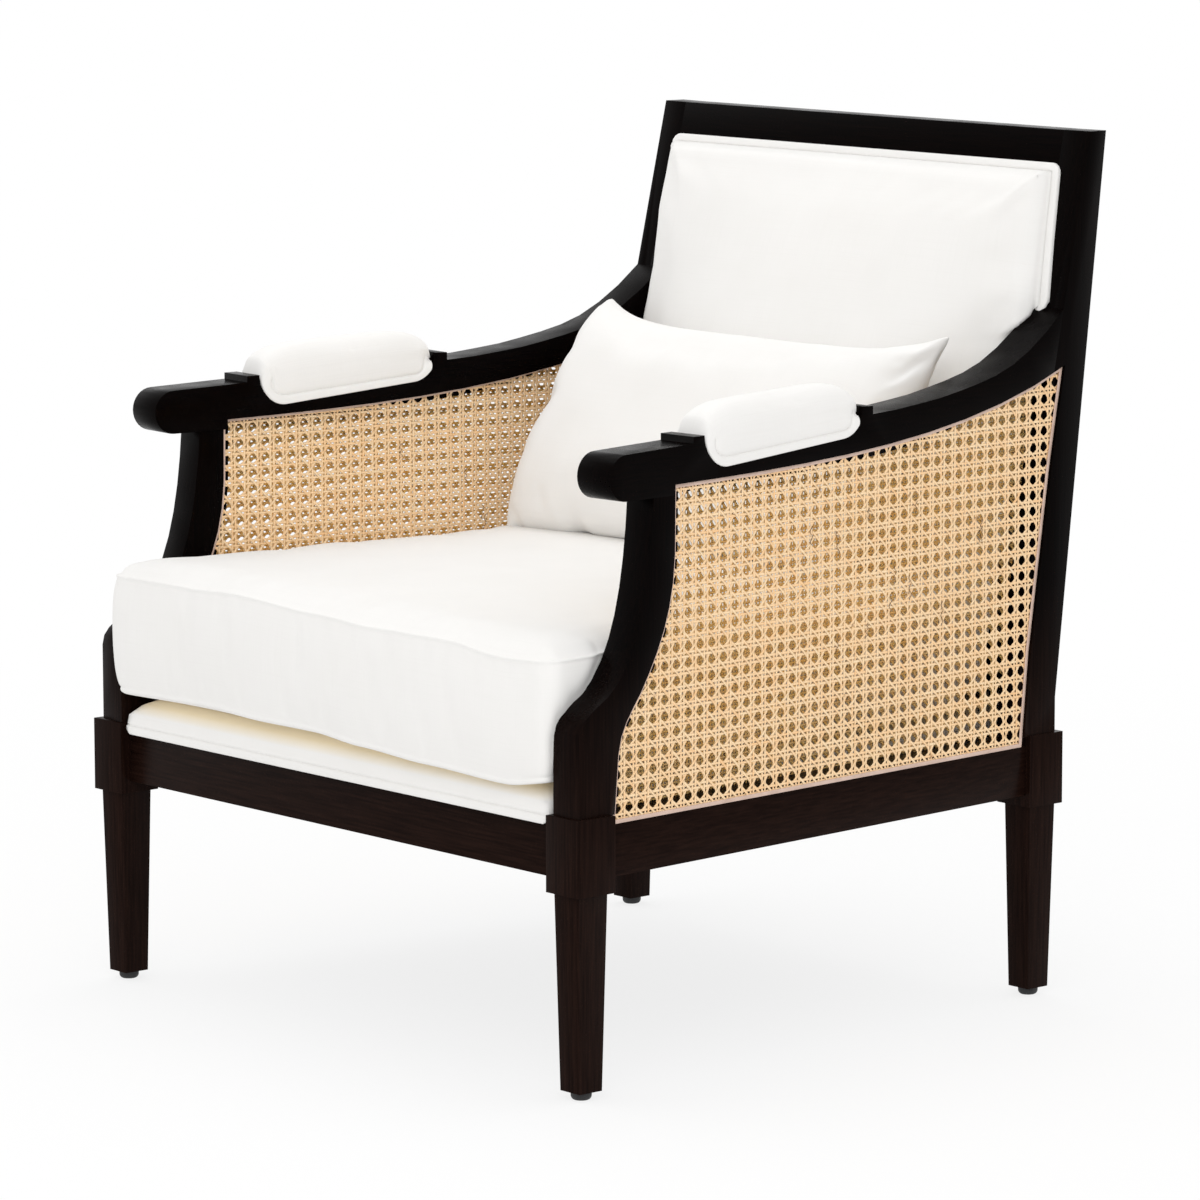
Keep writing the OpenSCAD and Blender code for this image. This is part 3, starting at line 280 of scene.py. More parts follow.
class Nodes:
    """A node tree and the few kinds of nodes that this scene uses."""

    def __init__(self, tree):
        self.tree = tree

    def wire(self, source, target):
        self.tree.links.new(source, target)

    def node(self, kind, inputs=None, **settings):
        """A node with its settings. Each input is a value, or the output that it is wired to."""
        node = self.tree.nodes.new("ShaderNode" + kind)
        for name, value in settings.items():
            setattr(node, name, value)
        for name, value in (inputs or {}).items():
            if isinstance(value, bpy.types.NodeSocket):
                self.wire(value, node.inputs[name])
            else:
                node.inputs[name].default_value = value
        return node

    def stretched(self, scale, source="Object"):
        """Coordinates of the piece or of its cloth, times a scale along each axis."""
        where = self.node("TexCoord").outputs[source]
        return self.node("Mapping", {"Vector": where, "Scale": scale}).outputs["Vector"]

    def height(self):
        """The height of the piece's points."""
        return self.node("SeparateXYZ", {0: self.stretched((1, 1, 1))}).outputs["Z"]

    def noise(self, vector, detail, roughness=0.5):
        inputs = {"Vector": vector, "Scale": 1.0, "Detail": detail, "Roughness": roughness}
        return self.node("TexNoise", inputs).outputs["Fac"]

    def spread(self, value, low, high, to_low=0.0, to_high=1.0):
        inputs = {"Value": value, "From Min": low, "From Max": high, "To Min": to_low, "To Max": to_high}
        return self.node("MapRange", inputs).outputs["Result"]

    def maths(self, operation, first, second):
        return self.node("Math", {0: first, 1: second}, operation=operation).outputs[0]

    def blend(self, factor, first, second):
        """Mixes two colours, each a value or an output."""
        first, second = ((*value, 1) if isinstance(value, tuple) else value for value in (first, second))
        return self.node("Mix", {0: factor, 6: first, 7: second}, data_type="RGBA").outputs[2]


class Material(Nodes):
    """A material on one Principled shader."""

    def __init__(self, name):
        self.material = bpy.data.materials.new(name)
        self.material.use_nodes = True
        super().__init__(self.material.node_tree)
        self.shader = self.tree.nodes["Principled BSDF"]

    def set(self, **values):
        for name, value in values.items():
            self.shader.inputs[name.replace("_", " ")].default_value = value

    def colour(self, value):
        self.wire(value, self.shader.inputs["Base Color"])

    def roughness(self, value):
        self.wire(value, self.shader.inputs["Roughness"])

    def bump(self, height, distance, strength):
        inputs = {"Height": height, "Distance": distance, "Strength": strength}
        self.wire(self.node("Bump", inputs).outputs["Normal"], self.shader.inputs["Normal"])


# Heights between which the lacquer goes from a browner, lighter lower part, painted light for light bounced
# up from the floor, to its blacker upper part
PAINTED_FLOOR_BOUNCE_HEIGHTS = (0.22, 0.42)
LACQUER_SHINE = 0.022


def lacquered_wood(name, grain_scale):
    """Espresso lacquer over close grain: the grain's stretch is given as waves a metre along each axis."""
    made = Material(name)
    grain = made.noise(made.stretched(grain_scale), 6.0, 0.6)
    cloud = made.noise(made.stretched((9, 9, 9)), 3.0)
    streak = made.spread(grain, 0.35, 0.75)
    base = made.blend(streak, (0.0007, 0.0004, 0.0004), (0.0030, 0.0013, 0.0010))
    toned = made.blend(made.spread(cloud, 0.35, 0.7, 0.0, 0.45), base, (0.0018, 0.0008, 0.0007))
    # Painted light: low on the chair the wood turns browner and lighter, for light bounced up from the white
    # floor
    low = made.spread(made.height(), *PAINTED_FLOOR_BOUNCE_HEIGHTS, 0.75, 0.0)
    brown = made.blend(streak, (0.0100, 0.0042, 0.0030), (0.026, 0.0118, 0.0082))
    made.colour(made.blend(low, toned, brown))
    made.roughness(made.spread(made.noise(made.stretched((30, 30, 30)), 4.0), 0.3, 0.7, 0.20, 0.32))
    made.set(Specular_IOR_Level=LACQUER_SHINE)
    made.bump(grain, 0.12 * MM, 0.5)
    return made.material


PALE_CANE = (1.0, 0.80, 0.54)
CANE_KNOT = (0.30, 0.15, 0.06)
LOOSE_FIBRE = (0.12, 0.055, 0.025)


def rattan(name, light, dark):
    """Split cane: long streaks, a tone for each strand, and dark nodes here and there."""
    made = Material(name)
    tone = made.node("Attribute", attribute_name="tone").outputs["Fac"]
    along = made.node("Attribute", attribute_name="along").outputs["Fac"]

    def marks(tones, waves, detail):
        """Noise that changes from strand to strand, with so many waves a metre along each."""
        place = {"X": made.maths("MULTIPLY", tone, tones), "Y": made.maths("MULTIPLY", along, waves)}
        return made.noise(made.node("CombineXYZ", place).outputs[0], detail)

    patches = marks(40.0, 22.0, 3.0)
    knots = made.spread(marks(900.0, 60.0, 2.0), 0.70, 0.80)
    mixed = made.blend(made.spread(patches, 0.32, 0.72), light, dark)
    toned = made.blend(made.spread(tone, 0.0, 1.0, 0.0, 0.35), mixed, PALE_CANE)
    knotted = made.blend(knots, toned, CANE_KNOT)
    made.colour(made.blend(made.spread(tone, 1.2, 1.8), knotted, LOOSE_FIBRE))
    fibre = made.noise(made.stretched((900, 900, 900)), 2.0)
    made.roughness(made.spread(patches, 0.3, 0.7, 0.34, 0.5))
    made.set(Specular_IOR_Level=0.3)
    made.bump(fibre, 0.05 * MM, 0.4)
    return made.material


def reed():
    """Pinkish brown reed of the splines."""
    made = Material("Spline reed")
    streak = made.noise(made.stretched((60, 60, 60)), 4.0)
    fibre = made.noise(made.stretched((700, 700, 260)), 3.0)
    made.colour(made.blend(made.spread(streak, 0.3, 0.7), (0.74, 0.55, 0.46), (0.60, 0.43, 0.35)))
    made.roughness(made.spread(fibre, 0.3, 0.7, 0.45, 0.62))
    made.bump(fibre, 0.12 * MM, 0.5)
    return made.material


# Painted shade: a warm ochre that stands for the shadow and warm bounce under the cushion
PAINTED_WARM_SHADE = (0.88, 0.75, 0.52)
# Height over which the white cloth blends into the painted warm shade
PAINTED_SHADE_BLEND = 11 * MM
# Bands a metre of a wave texture at scale 1
WAVE_BANDS = 3.2
# Thicker places of a thread, a metre
SLUBS = 9


def canvas(name, colour, shade, threads=1050.0, painted_shade_from=None):
    """Plain woven cotton: warp and weft from the cloth's own coordinates, with slubs and a soft sheen. Above
    a height it may turn to a painted warm shade, for the shadow under the cushion."""
    made = Material(name)
    band_inputs = {"Vector": made.stretched((1, 1, 1), "UV"), "Scale": threads / WAVE_BANDS}
    bands = [made.node("TexWave", band_inputs, bands_direction=axis).outputs["Fac"] for axis in "XY"]
    warp = made.noise(made.stretched((threads, SLUBS, 1), "UV"), 2.0)
    weft = made.noise(made.stretched((SLUBS, threads, 1), "UV"), 2.0)
    slubs = made.maths("MAXIMUM", warp, weft)
    height = made.maths("ADD", made.maths("MULTIPLY", made.maths("MULTIPLY", *bands), 0.6), slubs)
    cloud = made.noise(made.stretched((14, 14, 14)), 3.0)
    shaded = made.blend(made.spread(slubs, 0.5, 0.8, 0.0, 0.5), colour, shade)
    clouded = made.blend(made.spread(cloud, 0.4, 0.7, 0.0, 0.35), shaded, shade)
    # Painted shade: above the height the cloth turns warm ochre, for the shadow under the cushion
    if painted_shade_from is not None:
        above = made.spread(made.height(), painted_shade_from, painted_shade_from + PAINTED_SHADE_BLEND)
        clouded = made.blend(above, clouded, PAINTED_WARM_SHADE)
    made.colour(clouded)
    made.roughness(made.spread(slubs, 0.4, 0.7, 0.78, 0.92))
    made.set(Specular_IOR_Level=0.25, Sheen_Weight=0.12, Sheen_Roughness=0.5)
    made.bump(height, 0.11 * MM, 0.6)
    return made.material


def plain_material(name, colour, other, scale, rough=(0.5, 0.7), metallic=0.0):
    """Two tones in a pattern with a fine relief."""
    made = Material(name)
    pattern = made.noise(made.stretched(scale), 4.0)
    made.colour(made.blend(made.spread(pattern, 0.3, 0.7), colour, other))
    made.roughness(made.spread(pattern, 0.3, 0.7, *rough))
    made.set(Metallic=metallic)
    made.bump(pattern, 0.05 * MM, 0.5)
    return made.material


WOOD_UP = lacquered_wood("Lacquered wood upright", (420, 420, 16))
WOOD_ALONG = lacquered_wood("Lacquered wood lengthwise", (420, 16, 420))
WOOD_ACROSS = lacquered_wood("Lacquered wood crosswise", (16, 420, 420))
CANE_OUTSIDE = rattan("Rattan cane", (1.0, 0.74, 0.45), (0.98, 0.60, 0.29))
# The sheet seen behind the first: a deeper golden colour, painted light for the warm glow through and
# between the sheets
CANE_PAINTED_GLOW = rattan("Rattan cane inside", (1.0, 0.72, 0.26), (1.0, 0.60, 0.16))
REED = reed()
WHITE, WHITE_SHADE = (0.885, 0.873, 0.853), (0.845, 0.832, 0.808)
FABRIC = canvas("White cotton canvas", WHITE, WHITE_SHADE)
# The deck's cloth is white as far up as it shows at the front, with painted warm shade above, for the shadow
# under the cushion
DECK_SHADE_FROM_H = 19 * MM
DECK_CLOTH = canvas("Deck canvas", WHITE, WHITE_SHADE, painted_shade_from=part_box("seat_deck")[0].z + DECK_SHADE_FROM_H)
LINING = canvas("Black lining cloth", (0.018, 0.018, 0.019), (0.03, 0.03, 0.031), 1500.0)
WEBBING = canvas("Jute webbing", (0.36, 0.25, 0.14), (0.24, 0.16, 0.085), 500.0)
BEECH = plain_material("Beech ply", (0.55, 0.36, 0.19), (0.42, 0.26, 0.13), (200, 14, 200))
NYLON = plain_material("Black nylon", (0.014, 0.014, 0.015), (0.022, 0.022, 0.023), (300, 300, 300))
STEEL = plain_material("Zinc steel", (0.45, 0.44, 0.42), (0.36, 0.35, 0.33), (400, 400, 400),
                       rough=(0.28, 0.42), metallic=1.0)

# CAD nodes that stay, by their material

KEPT = {
    WOOD_UP: ("front_leg_right", "front_leg_left", "rear_leg_right", "rear_leg_left"),
    WOOD_ALONG: ("side_rail_right", "side_rail_left"),
    WOOD_ACROSS: ("front_rail", "rear_rail", "crest_rail", "lower_back_rail"),
    BEECH: ("corner_blocks", "joint_dowels", "arm_pad_boards"),
    STEEL: ("corner_block_screws", "arm_pad_screws"),
    NYLON: ("glides",),
    REED: ("spline_outer_right", "spline_outer_left", "spline_inner_right", "spline_inner_left"),
}
# Radius of the soft edges
ROUNDED = {WOOD_UP: 1.3 * MM, WOOD_ALONG: 1.3 * MM, WOOD_ACROSS: 1.3 * MM, REED: 0.5 * MM, NYLON: 0.8 * MM}


def dress(obj, material):
    """Gives a hard piece its material and its soft edges."""
    obj.data.materials.clear()
    obj.data.materials.append(material)
    if material in ROUNDED:
        obj.data.shade_smooth()
        weld = obj.modifiers.new("Weld", "WELD")
        weld.merge_threshold = 0.01 * MM
        bevel = obj.modifiers.new("Soft edges", "BEVEL")
        bevel.width = ROUNDED[material]
        bevel.segments = 3
        bevel.limit_method = "ANGLE"
        bevel.angle_limit = math.radians(35)
        bevel.harden_normals = True


for kept_material, kept_names in KEPT.items():
    for kept_name in kept_names:
        dress(NODES[kept_name], kept_material)

# The arms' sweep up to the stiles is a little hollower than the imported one: places along the side, and
# how much lower their top is there
SWEEP_PLACES = np.array([475, 505, 533, 560, 586, 612, 637, 662, 688]) * MM
SWEEP_DROPS = np.array([0, 1.2, 2.3, 4.6, 7.5, 9.4, 8.8, 6.2, 0.5]) * MM
ARM = side_coordinates(node_points("arm_right"))
ARM_MIDDLE = (ARM[:, 1].max() + ARM[:, 1].min()) / 2
OVER_CHAIR = 0.9
DOWN = (0, 0, -1)
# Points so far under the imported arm's top still belong to it
TOP_DEPTH = 2 * MM


def packed_arm_top(s):
    """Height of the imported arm's top at a place along the side."""
    return ray_hit("arm_right", side_point(s, ARM_MIDDLE, OVER_CHAIR), DOWN).z


SWEEP_TOPS = np.array([packed_arm_top(s) for s in SWEEP_PLACES]) - SWEEP_DROPS


def swept_arm(word, side):
    """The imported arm's own shape, with the top of its sweep lowered."""
    points = node_points(f"arm_{word}")
    for point, (s, _, z) in zip(points, side_coordinates(mirrored(points, side))):
        if SWEEP_PLACES[0] < s and z > packed_arm_top(min(s, SWEEP_PLACES[-1])) - TOP_DEPTH:
            point[2] -= np.interp(s, SWEEP_PLACES, SWEEP_DROPS)
    mesh = NODES[f"arm_{word}"].data.copy()
    mesh.vertices.foreach_set("co", points.reshape(-1))
    mesh.update()
    obj = placed(f"swept_arm_{word}", mesh)
    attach(obj, "frame")
    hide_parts(f"arm_{word}")
    dress(obj, WOOD_ALONG)


SIDES = (("right", 1), ("left", -1))
for side_word, side_sign in SIDES:
    swept_arm(side_word, side_sign)

# Cane

PITCH = 15.9 * MM
STRAND_W = 2.65 * MM
STRAND_T = 0.55 * MM
# A strand's section: place across its width, and height in its thicknesses
STRAND_SECTION = ((-0.5, 0.1), (-0.22, 0.5), (0.22, 0.5), (0.5, 0.1), (0, -0.4))
# Half the distance between the two strands of a pair, in pitches
PAIR_OFFSET = 2.0 / 15.9
WEAVE_LIFT = 0.3 * MM
DIAGONAL_LIFT = 0.5 * MM


def sheet_outline(name):
    """The outer edge of a CAD cane sheet, as s and z, and the depth of its middle."""
    mesh = NODES[name].data
    place = [tuple(round(c, 5) for c in v.co) for v in mesh.vertices]
    ahead = {}
    for face in mesh.polygons:
        if face.normal.dot(Vector(SIDE_OUT)) < 0.99:
            continue
        corners = [place[i] for i in face.vertices]
        for a, b in zip(corners, corners[1:] + corners[:1]):
            if ahead.get(b) and a in ahead[b]:
                ahead[b].remove(a)
            else:
                ahead.setdefault(a, []).append(b)
    loops = []
    while any(ahead.values()):
        start = next(p for p, nexts in ahead.items() if nexts)
        loop = [start]
        while True:
            following = ahead[loop[-1]].pop()
            if following == start:
                break
            loop.append(following)
        loops.append(side_coordinates(np.array(loop)))
    outline = max(loops, key=lambda loop: np.ptp(loop[:, 0]) * np.ptp(loop[:, 2]))
    depth = side_coordinates(node_points(name))[:, 1].mean()
    return outline[:, [0, 2]], depth


def spans(outline, start, direction):
    """Where a line lies inside an outline, as pairs of distances along the line."""
    across = np.array([-direction[1], direction[0]])
    height = (outline - start) @ across
    reach = (outline - start) @ direction
    height2, reach2 = np.roll(height, -1), np.roll(reach, -1)
    crossed = (height > 0) != (height2 > 0)
    with np.errstate(divide="ignore", invalid="ignore"):
        at = reach + (reach2 - reach) * height / (height - height2)
    cuts = np.sort(at[crossed])
    return list(zip(cuts[::2], cuts[1::2]))


# Least distance of a ring from its strand's end, in pitches
END_GAP = 0.02


def stations(low, high, period, offsets):
    """Places of a strand's rings between two ends, both ends with them."""
    first, last = math.floor(low / period) - 1, math.ceil(high / period) + 1
    places = [k * period + f for k in range(first, last + 1) for f in offsets]
    inside = [p for p in places if low + END_GAP < p < high - END_GAP]
    return np.array([low, *inside, high])


def cane_strands(outline):
    """Every strand in units of the pitch: its rings' places in the plane and their heights."""
    low, high = outline.min(0), outline.max(0)
    d = PAIR_OFFSET
    pair_stops = (0.5 - 2 * d, 0.5 - d, 0.5, 0.5 + d, 0.5 + 2 * d, 1.0)
    for axis in (0, 1):
        direction = np.array([0.0, 1.0]) if axis == 0 else np.array([1.0, 0.0])
        for k in range(math.floor(low[axis]) - 1, math.ceil(high[axis]) + 1):
            for q in (-1, 1):
                start = np.zeros(2)
                start[axis] = k + 0.5 + q * d
                for a, b in spans(outline, start, direction):
                    t = stations(a, b, 1.0, pair_stops)
                    offset = (t % 1.0) - 0.5
                    over = np.where(np.abs(np.abs(offset) - d) < 0.01, np.sign(offset) * q, 0.0)
                    lift = over * WEAVE_LIFT * (1 if axis == 0 else -1)
                    yield start + t[:, None] * direction, lift
    diagonal_stops = (0.0, d, 0.25, 0.5 - d, 0.5)
    reach = math.ceil(max(np.abs(low).max(), np.abs(high).max())) * 2 + 2
    for sign in (1, -1):
        direction = np.array([1.0, -sign])
        for k in range(-reach, reach + 1):
            start = np.array([0.0, (k + 0.5) * sign])
            for a, b in spans(outline, start, direction / math.sqrt(2)):
                t = stations(a / math.sqrt(2), b / math.sqrt(2), 0.5, diagonal_stops)
                lift = sign * DIAGONAL_LIFT * np.clip(1.4 * np.cos(2 * math.pi * t), -1, 1)
                yield start + t[:, None] * direction, lift


SHORTEST_STRAND = 2 * MM
FIBRE_R = 0.34 * MM
FIBRE_CURL = 1.7 * MM
FIBRE_RUN = 20 * MM
# Where fibres hang loose: shares of the sheet's length and height, from and to
FIBRE_AREA = ((0.42, 0.32), (0.82, 0.72))
# A tone over 1 is the dark brown of a loose fibre
FIBRE_TONE = 2.0


def cane_sheet(name, node, side, faces_out, pitch, origin, turn, seed, loose_fibres, material):
    """A woven sheet over a CAD sheet's outline, with its own pitch, start and turn of the weave."""
    outline, depth = sheet_outline(node.replace("left", "right"))
    spin = np.array([[math.cos(turn), -math.sin(turn)], [math.sin(turn), math.cos(turn)]])
    # From the weave's own units, the pitches, to metres in the sheet's plane
    to_plane = spin @ np.diag(pitch)
    weave_outline = (outline - origin) @ np.linalg.inv(to_plane).T
    dice = np.random.default_rng(seed)
    points, faces, tones, runs, count = [], [], [], [], 0

    def add_tube(block, tone, run):
        """Closes a row of rings into a tube with its tone and the distance run along it."""
        nonlocal count
        length, ring_size = block.shape[:2]
        number = np.arange(length * ring_size).reshape(length, ring_size) + count
        after = np.roll(number, -1, axis=1)
        quads = np.stack([number[:-1], number[1:], after[1:], after[:-1]], -1).reshape(-1, 4)
        points.append(block.reshape(-1, 3))
        faces.append(quads if faces_out > 0 else quads[:, ::-1])
        tones.append(np.full(length * ring_size, tone))
        runs.append(np.repeat(run, ring_size))
        count += length * ring_size

    for path, lift in cane_strands(weave_outline):
        flat = path @ to_plane.T + origin
        run = run_of(flat)
        if run[-1] < SHORTEST_STRAND:
            continue
        ahead = np.gradient(flat, axis=0)
        ahead /= np.linalg.norm(ahead, axis=1)[:, None]
        across = np.stack([-ahead[:, 1], ahead[:, 0]], -1)
        phase = dice.uniform(0, 50)
        sway = 0.13 * MM * np.sin(run / (37 * MM) + phase) + 0.07 * MM * np.sin(run / (9 * MM) + phase * 3)
        width = STRAND_W * dice.uniform(0.9, 1.07) * (1 + 0.05 * np.sin(run / (23 * MM) + phase * 2))
        rings = []
        for edge, top in STRAND_SECTION:
            place = flat + across * (sway + edge * width)[:, None]
            depth_here = depth + faces_out * (lift + top * STRAND_T)
            rings.append(side_point(place[:, 0], depth_here, place[:, 1]))
        add_tube(np.stack(rings, 1), dice.uniform(0, 1), run)
    low, high = outline.min(0), outline.max(0)
    for _ in range(loose_fibres):
        s, z = low + (high - low) * dice.uniform(*FIBRE_AREA)
        along = np.linspace(0, 1, 11)
        curl = dice.uniform(0, 6) + along * dice.uniform(9, 15)
        across = s + FIBRE_CURL * np.sin(curl) + 3 * MM * along * dice.uniform(-1, 1)
        down = z - along * dice.uniform(13, 24) * MM
        out = depth + faces_out * (1.1 * MM + 0.5 * MM * np.cos(curl))
        rings = [side_point(across + a * FIBRE_R, out + b * FIBRE_R, down) for a, b in DIAMOND]
        add_tube(np.stack(rings, 1), FIBRE_TONE, along * FIBRE_RUN)
    faces = np.concatenate(faces)
    if side < 0:
        faces = faces[:, ::-1]
    obj = mesh_object(name, mirrored(np.concatenate(points), side), faces, "frame", material)
    for label, values in (("tone", tones), ("along", runs)):
        obj.data.attributes.new(label, "FLOAT", "POINT").data.foreach_set("value", np.concatenate(values))
    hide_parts(node)


LOOSE_FIBRES = 13
WEAVE_START = np.array([0.3, 0.4])
# Side and its sign, layer, the weave's pitch both ways, its shift and its turn. The sheet behind differs a
# little from the one that is seen first, which gives the moire.
SHEETS = [
    ("right", 1, "outer", (PITCH, PITCH), (0.0, 0.0), 0.0),
    ("right", 1, "inner", (PITCH * 1.02, PITCH * 0.985), (4.0 * MM, 2.0 * MM), math.radians(0.8)),
    ("left", -1, "outer", (PITCH, PITCH), (2.0 * MM, 5.0 * MM), math.radians(-0.4)),
    ("left", -1, "inner", (PITCH, PITCH), (0.0, 0.0), 0.0),
]
for number, (word, side, layer, pitch, shift, turn) in enumerate(SHEETS):
    faces_out = 1 if layer == "outer" else -1
    seen_first = (word == "right") == (layer == "outer")
    # The sheet behind the one seen first gets the cane with the painted warm glow
    cane_sheet(f"woven_cane_{layer}_{word}", f"cane_{layer}_{word}", side, faces_out,
               pitch, WEAVE_START + np.array(shift), turn, SEED + number,
               LOOSE_FIBRES if seen_first else 0, CANE_OUTSIDE if seen_first else CANE_PAINTED_GLOW)

# Upholstery

EDGE_W = 9 * MM


def edge_distance(x, y, half_x, half_y, radius):
    """How far points lie inside a rectangle with round corners."""
    a, b = np.abs(x) - (half_x - radius), np.abs(y) - (half_y - radius)
    corner = radius - np.hypot(np.maximum(a, 0), np.maximum(b, 0))
    return np.where((a > 0) & (b > 0), corner, np.minimum(radius - a, radius - b))


def dome(distance, width, power=2.0):
    """Rises from 0 at the edge to 1 at a distance inside it, steep at first."""
    inside = np.clip(distance / width, 0, 1)
    return (1 - (1 - inside) ** power) ** (1 / power)


def smooth_step(value):
    """Goes from 0 to 1 with no corner."""
    value = np.clip(value, 0, 1)
    return value * value * (3 - 2 * value)


def sewn_edge(d, thickness):
    """Height of a flat sewn edge: a folded rim, a flat strip and the groove of its stitches."""
    rim_fold = dome(d, 1.6 * MM)
    groove = np.exp(-((d - EDGE_W) / (0.9 * MM)) ** 2)
    return thickness * rim_fold - 0.55 * thickness * groove


def inset_outline(u, v, half, radius, inset):
    """The rounded rectangle at a distance inside a cover's edge."""
    return rounded(u, v, half[0] - inset, half[1] - inset, np.maximum(radius(u) - inset, 1.5 * MM))


# Distances inside a cover's edge at which its mesh has a ring
COVER_RINGS = np.array([0, 0.3, 0.8, 1.6, 3.5, 6, 7.6, 8.3, 8.7, 9, 9.3, 9.8, 10.6, 12, 14]) * MM


def stuffed_cover(name, half, radius, cells, place, under, pressure, cap, stitched_from=0.0):
    """A stuffed cover with a flat sewn edge. place(x, y, d, lift) carries a point of the cloth, at a
    distance d inside its edge and a lift over it, into the frame. radius(u) is that of the corners near u.
    """
    inner = COVER_RINGS[-1]
    u, v = square_grid(*cells)
    x, y = inset_outline(u, v, half, radius, inner)
    cloth = Cloth()
    cloth.grid(place(x, y, edge_distance(x, y, *half, radius(x)), 0.0), np.stack([x, y], -1))
    rim_u, rim_v = rim(u), rim(v)
    rows = np.array([inset_outline(rim_u, rim_v, half, radius, inset) for inset in COVER_RINGS[::-1]])
    x, y = rows[:, 0], rows[:, 1]
    d = np.broadcast_to(COVER_RINGS[::-1][:, None], x.shape)
    top = place(x, y, d, 0.0)
    low = [place(x[-1], y[-1], d[-1], -under * f) for f in (0.3, 1.0)]
    flat = np.stack([x, y], -1)
    seam = (d < 1.1 * EDGE_W).astype(float)
    cloth.grid(np.concatenate([top, low]), np.concatenate([flat, flat[-1:], flat[-1:] + under]),
               np.concatenate([seam, seam[-1:], seam[-1:]]))
    obj = cloth.build(name, "frame", FABRIC)
    inflate(obj, pressure, cap)
    line = inset_outline(rim_u, rim_v, half, radius, EDGE_W)
    level = np.full_like(line[0], EDGE_W)
    path = place(*line, level, 0.1 * MM)
    lifted = place(*line, level, 1.1 * MM)
    add_stitches(obj, path, (lifted - path) / MM, np.abs(line[1]) >= stitched_from * half[1])
    return obj


def add_stitches(obj, path, outwards, sewn):
    """Joins a row of raised threads to a piece, along the parts of a path that are sewn."""
    breaks = np.flatnonzero(np.diff(sewn.astype(int))) + 1
    threads = []
    for part in np.split(np.arange(len(path)), breaks):
        if sewn[part[0]] and len(part) > 3:
            points, faces = stitches(path[part], outwards[part])
            thread = mesh_object(obj.name + "_thread", points, faces, "frame", FABRIC)
            thread.data.uv_layers.new(name="cloth")
            threads.append(thread)
    with bpy.context.temp_override(active_object=obj, selected_editable_objects=[obj, *threads]):
        bpy.ops.object.join()


SIM_FRAMES = 18


def inflate(obj, pressure, cap, stiff=12.0, looseness=0.0):
    """Blows the cloth up a little with its seams held, moves no point further than the cap, and keeps the
    shape."""
    mesh = obj.data
    held = np.empty(len(mesh.vertices))
    mesh.attributes["seam"].data.foreach_get("value", held)
    before = np.empty(len(mesh.vertices) * 3)
    mesh.vertices.foreach_get("co", before)
    group = obj.vertex_groups.new(name="held")
    group.add([int(i) for i in np.flatnonzero(held > 0.5)], 1.0, "REPLACE")
    cloth = obj.modifiers.new("Cloth", "CLOTH")
    settings = cloth.settings
    settings.quality = 5
    settings.mass = 0.25
    settings.tension_stiffness = settings.compression_stiffness = stiff
    settings.shear_stiffness = stiff / 3
    settings.bending_stiffness = 0.6
    settings.use_pressure = True
    settings.uniform_pressure_force = pressure
    settings.effector_weights.gravity = 0
    settings.shrink_min = -looseness
    settings.vertex_group_mass = "held"
    settings.pin_stiffness = 0.8
    cloth.collision_settings.use_collision = False
    cloth.point_cache.frame_start, cloth.point_cache.frame_end = 1, SIM_FRAMES
    scene = bpy.context.scene
    for step in range(1, SIM_FRAMES + 1):
        scene.frame_set(step)
    shaped = obj.evaluated_get(bpy.context.evaluated_depsgraph_get()).to_mesh()
    after = np.empty(len(mesh.vertices) * 3)
    shaped.vertices.foreach_get("co", after)
    scene.frame_set(1)
    obj.modifiers.remove(cloth)
    move = (after - before).reshape(-1, 3)
    size = np.linalg.norm(move, axis=1)[:, None] + 1e-12
    move *= np.minimum(1, cap * np.tanh(size / cap) / size)
    mesh.vertices.foreach_set("co", (before.reshape(-1, 3) + move).reshape(-1))
    mesh.update()


def subdivide(obj):
    """Rounds a piece's mesh once."""
    finer = obj.modifiers.new("Subdivision", "SUBSURF")
    finer.levels = finer.render_levels = 1


def crease(x, y, in_x, in_y, lean, length, depth, width):
    """Depth of a valley in a cloth near a corner at 0, 0. Its middle is in_x and in_y inside the corner."""
    along = (x + in_x) * math.cos(lean) + (y + in_y) * math.sin(lean)
    off = (y + in_y) * math.cos(lean) - (x + in_x) * math.sin(lean)
    return depth * np.exp(-(along / length) ** 4) * np.exp(-(off / width) ** 2)


def knotted_wave(x, knots):
    """A smooth wave through (place, height) pairs in millimetres."""
    places, heights = np.array(knots).T * MM
    first = np.clip(np.searchsorted(places, x) - 1, 0, len(places) - 2)
    part = smooth_step((x - places[first]) / (places[first + 1] - places[first]))
    return heights[first] + (heights[first + 1] - heights[first]) * part


# Waves of the cushion's front seams: place across the chair and height over the straight line
TOP_SEAM_WAVE = [(-350, 0), (-218, 2.5), (-125, 6.5), (-12, 3.5), (80, 1), (195, 3), (270, -2.5), (350, 0)]
LOW_SEAM_WAVE = [(-350, 0), (-176, 4.5), (-98, 2), (-12, 2.5), (66, -2.5), (168, -7), (285, -10), (350, -2)]


def post_front(z):
    """Where the front post's front edge is along the chair at a height."""
    x = (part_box("front_leg_right")[0].x + COLLAR[0]) / 2
    hit = ray_hit("front_leg_right", (x, -1, z), (0, 1, 0))
    return hit.y if hit else COLLAR[1]


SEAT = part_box("seat_cushion_cover")
SEAT_FRONT = SEAT[0].y - 8 * MM
# How much wider each side of the cushion is in front of its post
SEAT_EAR = 8 * MM
SEAT_CORNER_R = 18 * MM
POST_HEIGHTS = np.linspace(SEAT[0].z, SEAT[1].z, 12)
POST_FRONTS = np.array([post_front(z) for z in POST_HEIGHTS])


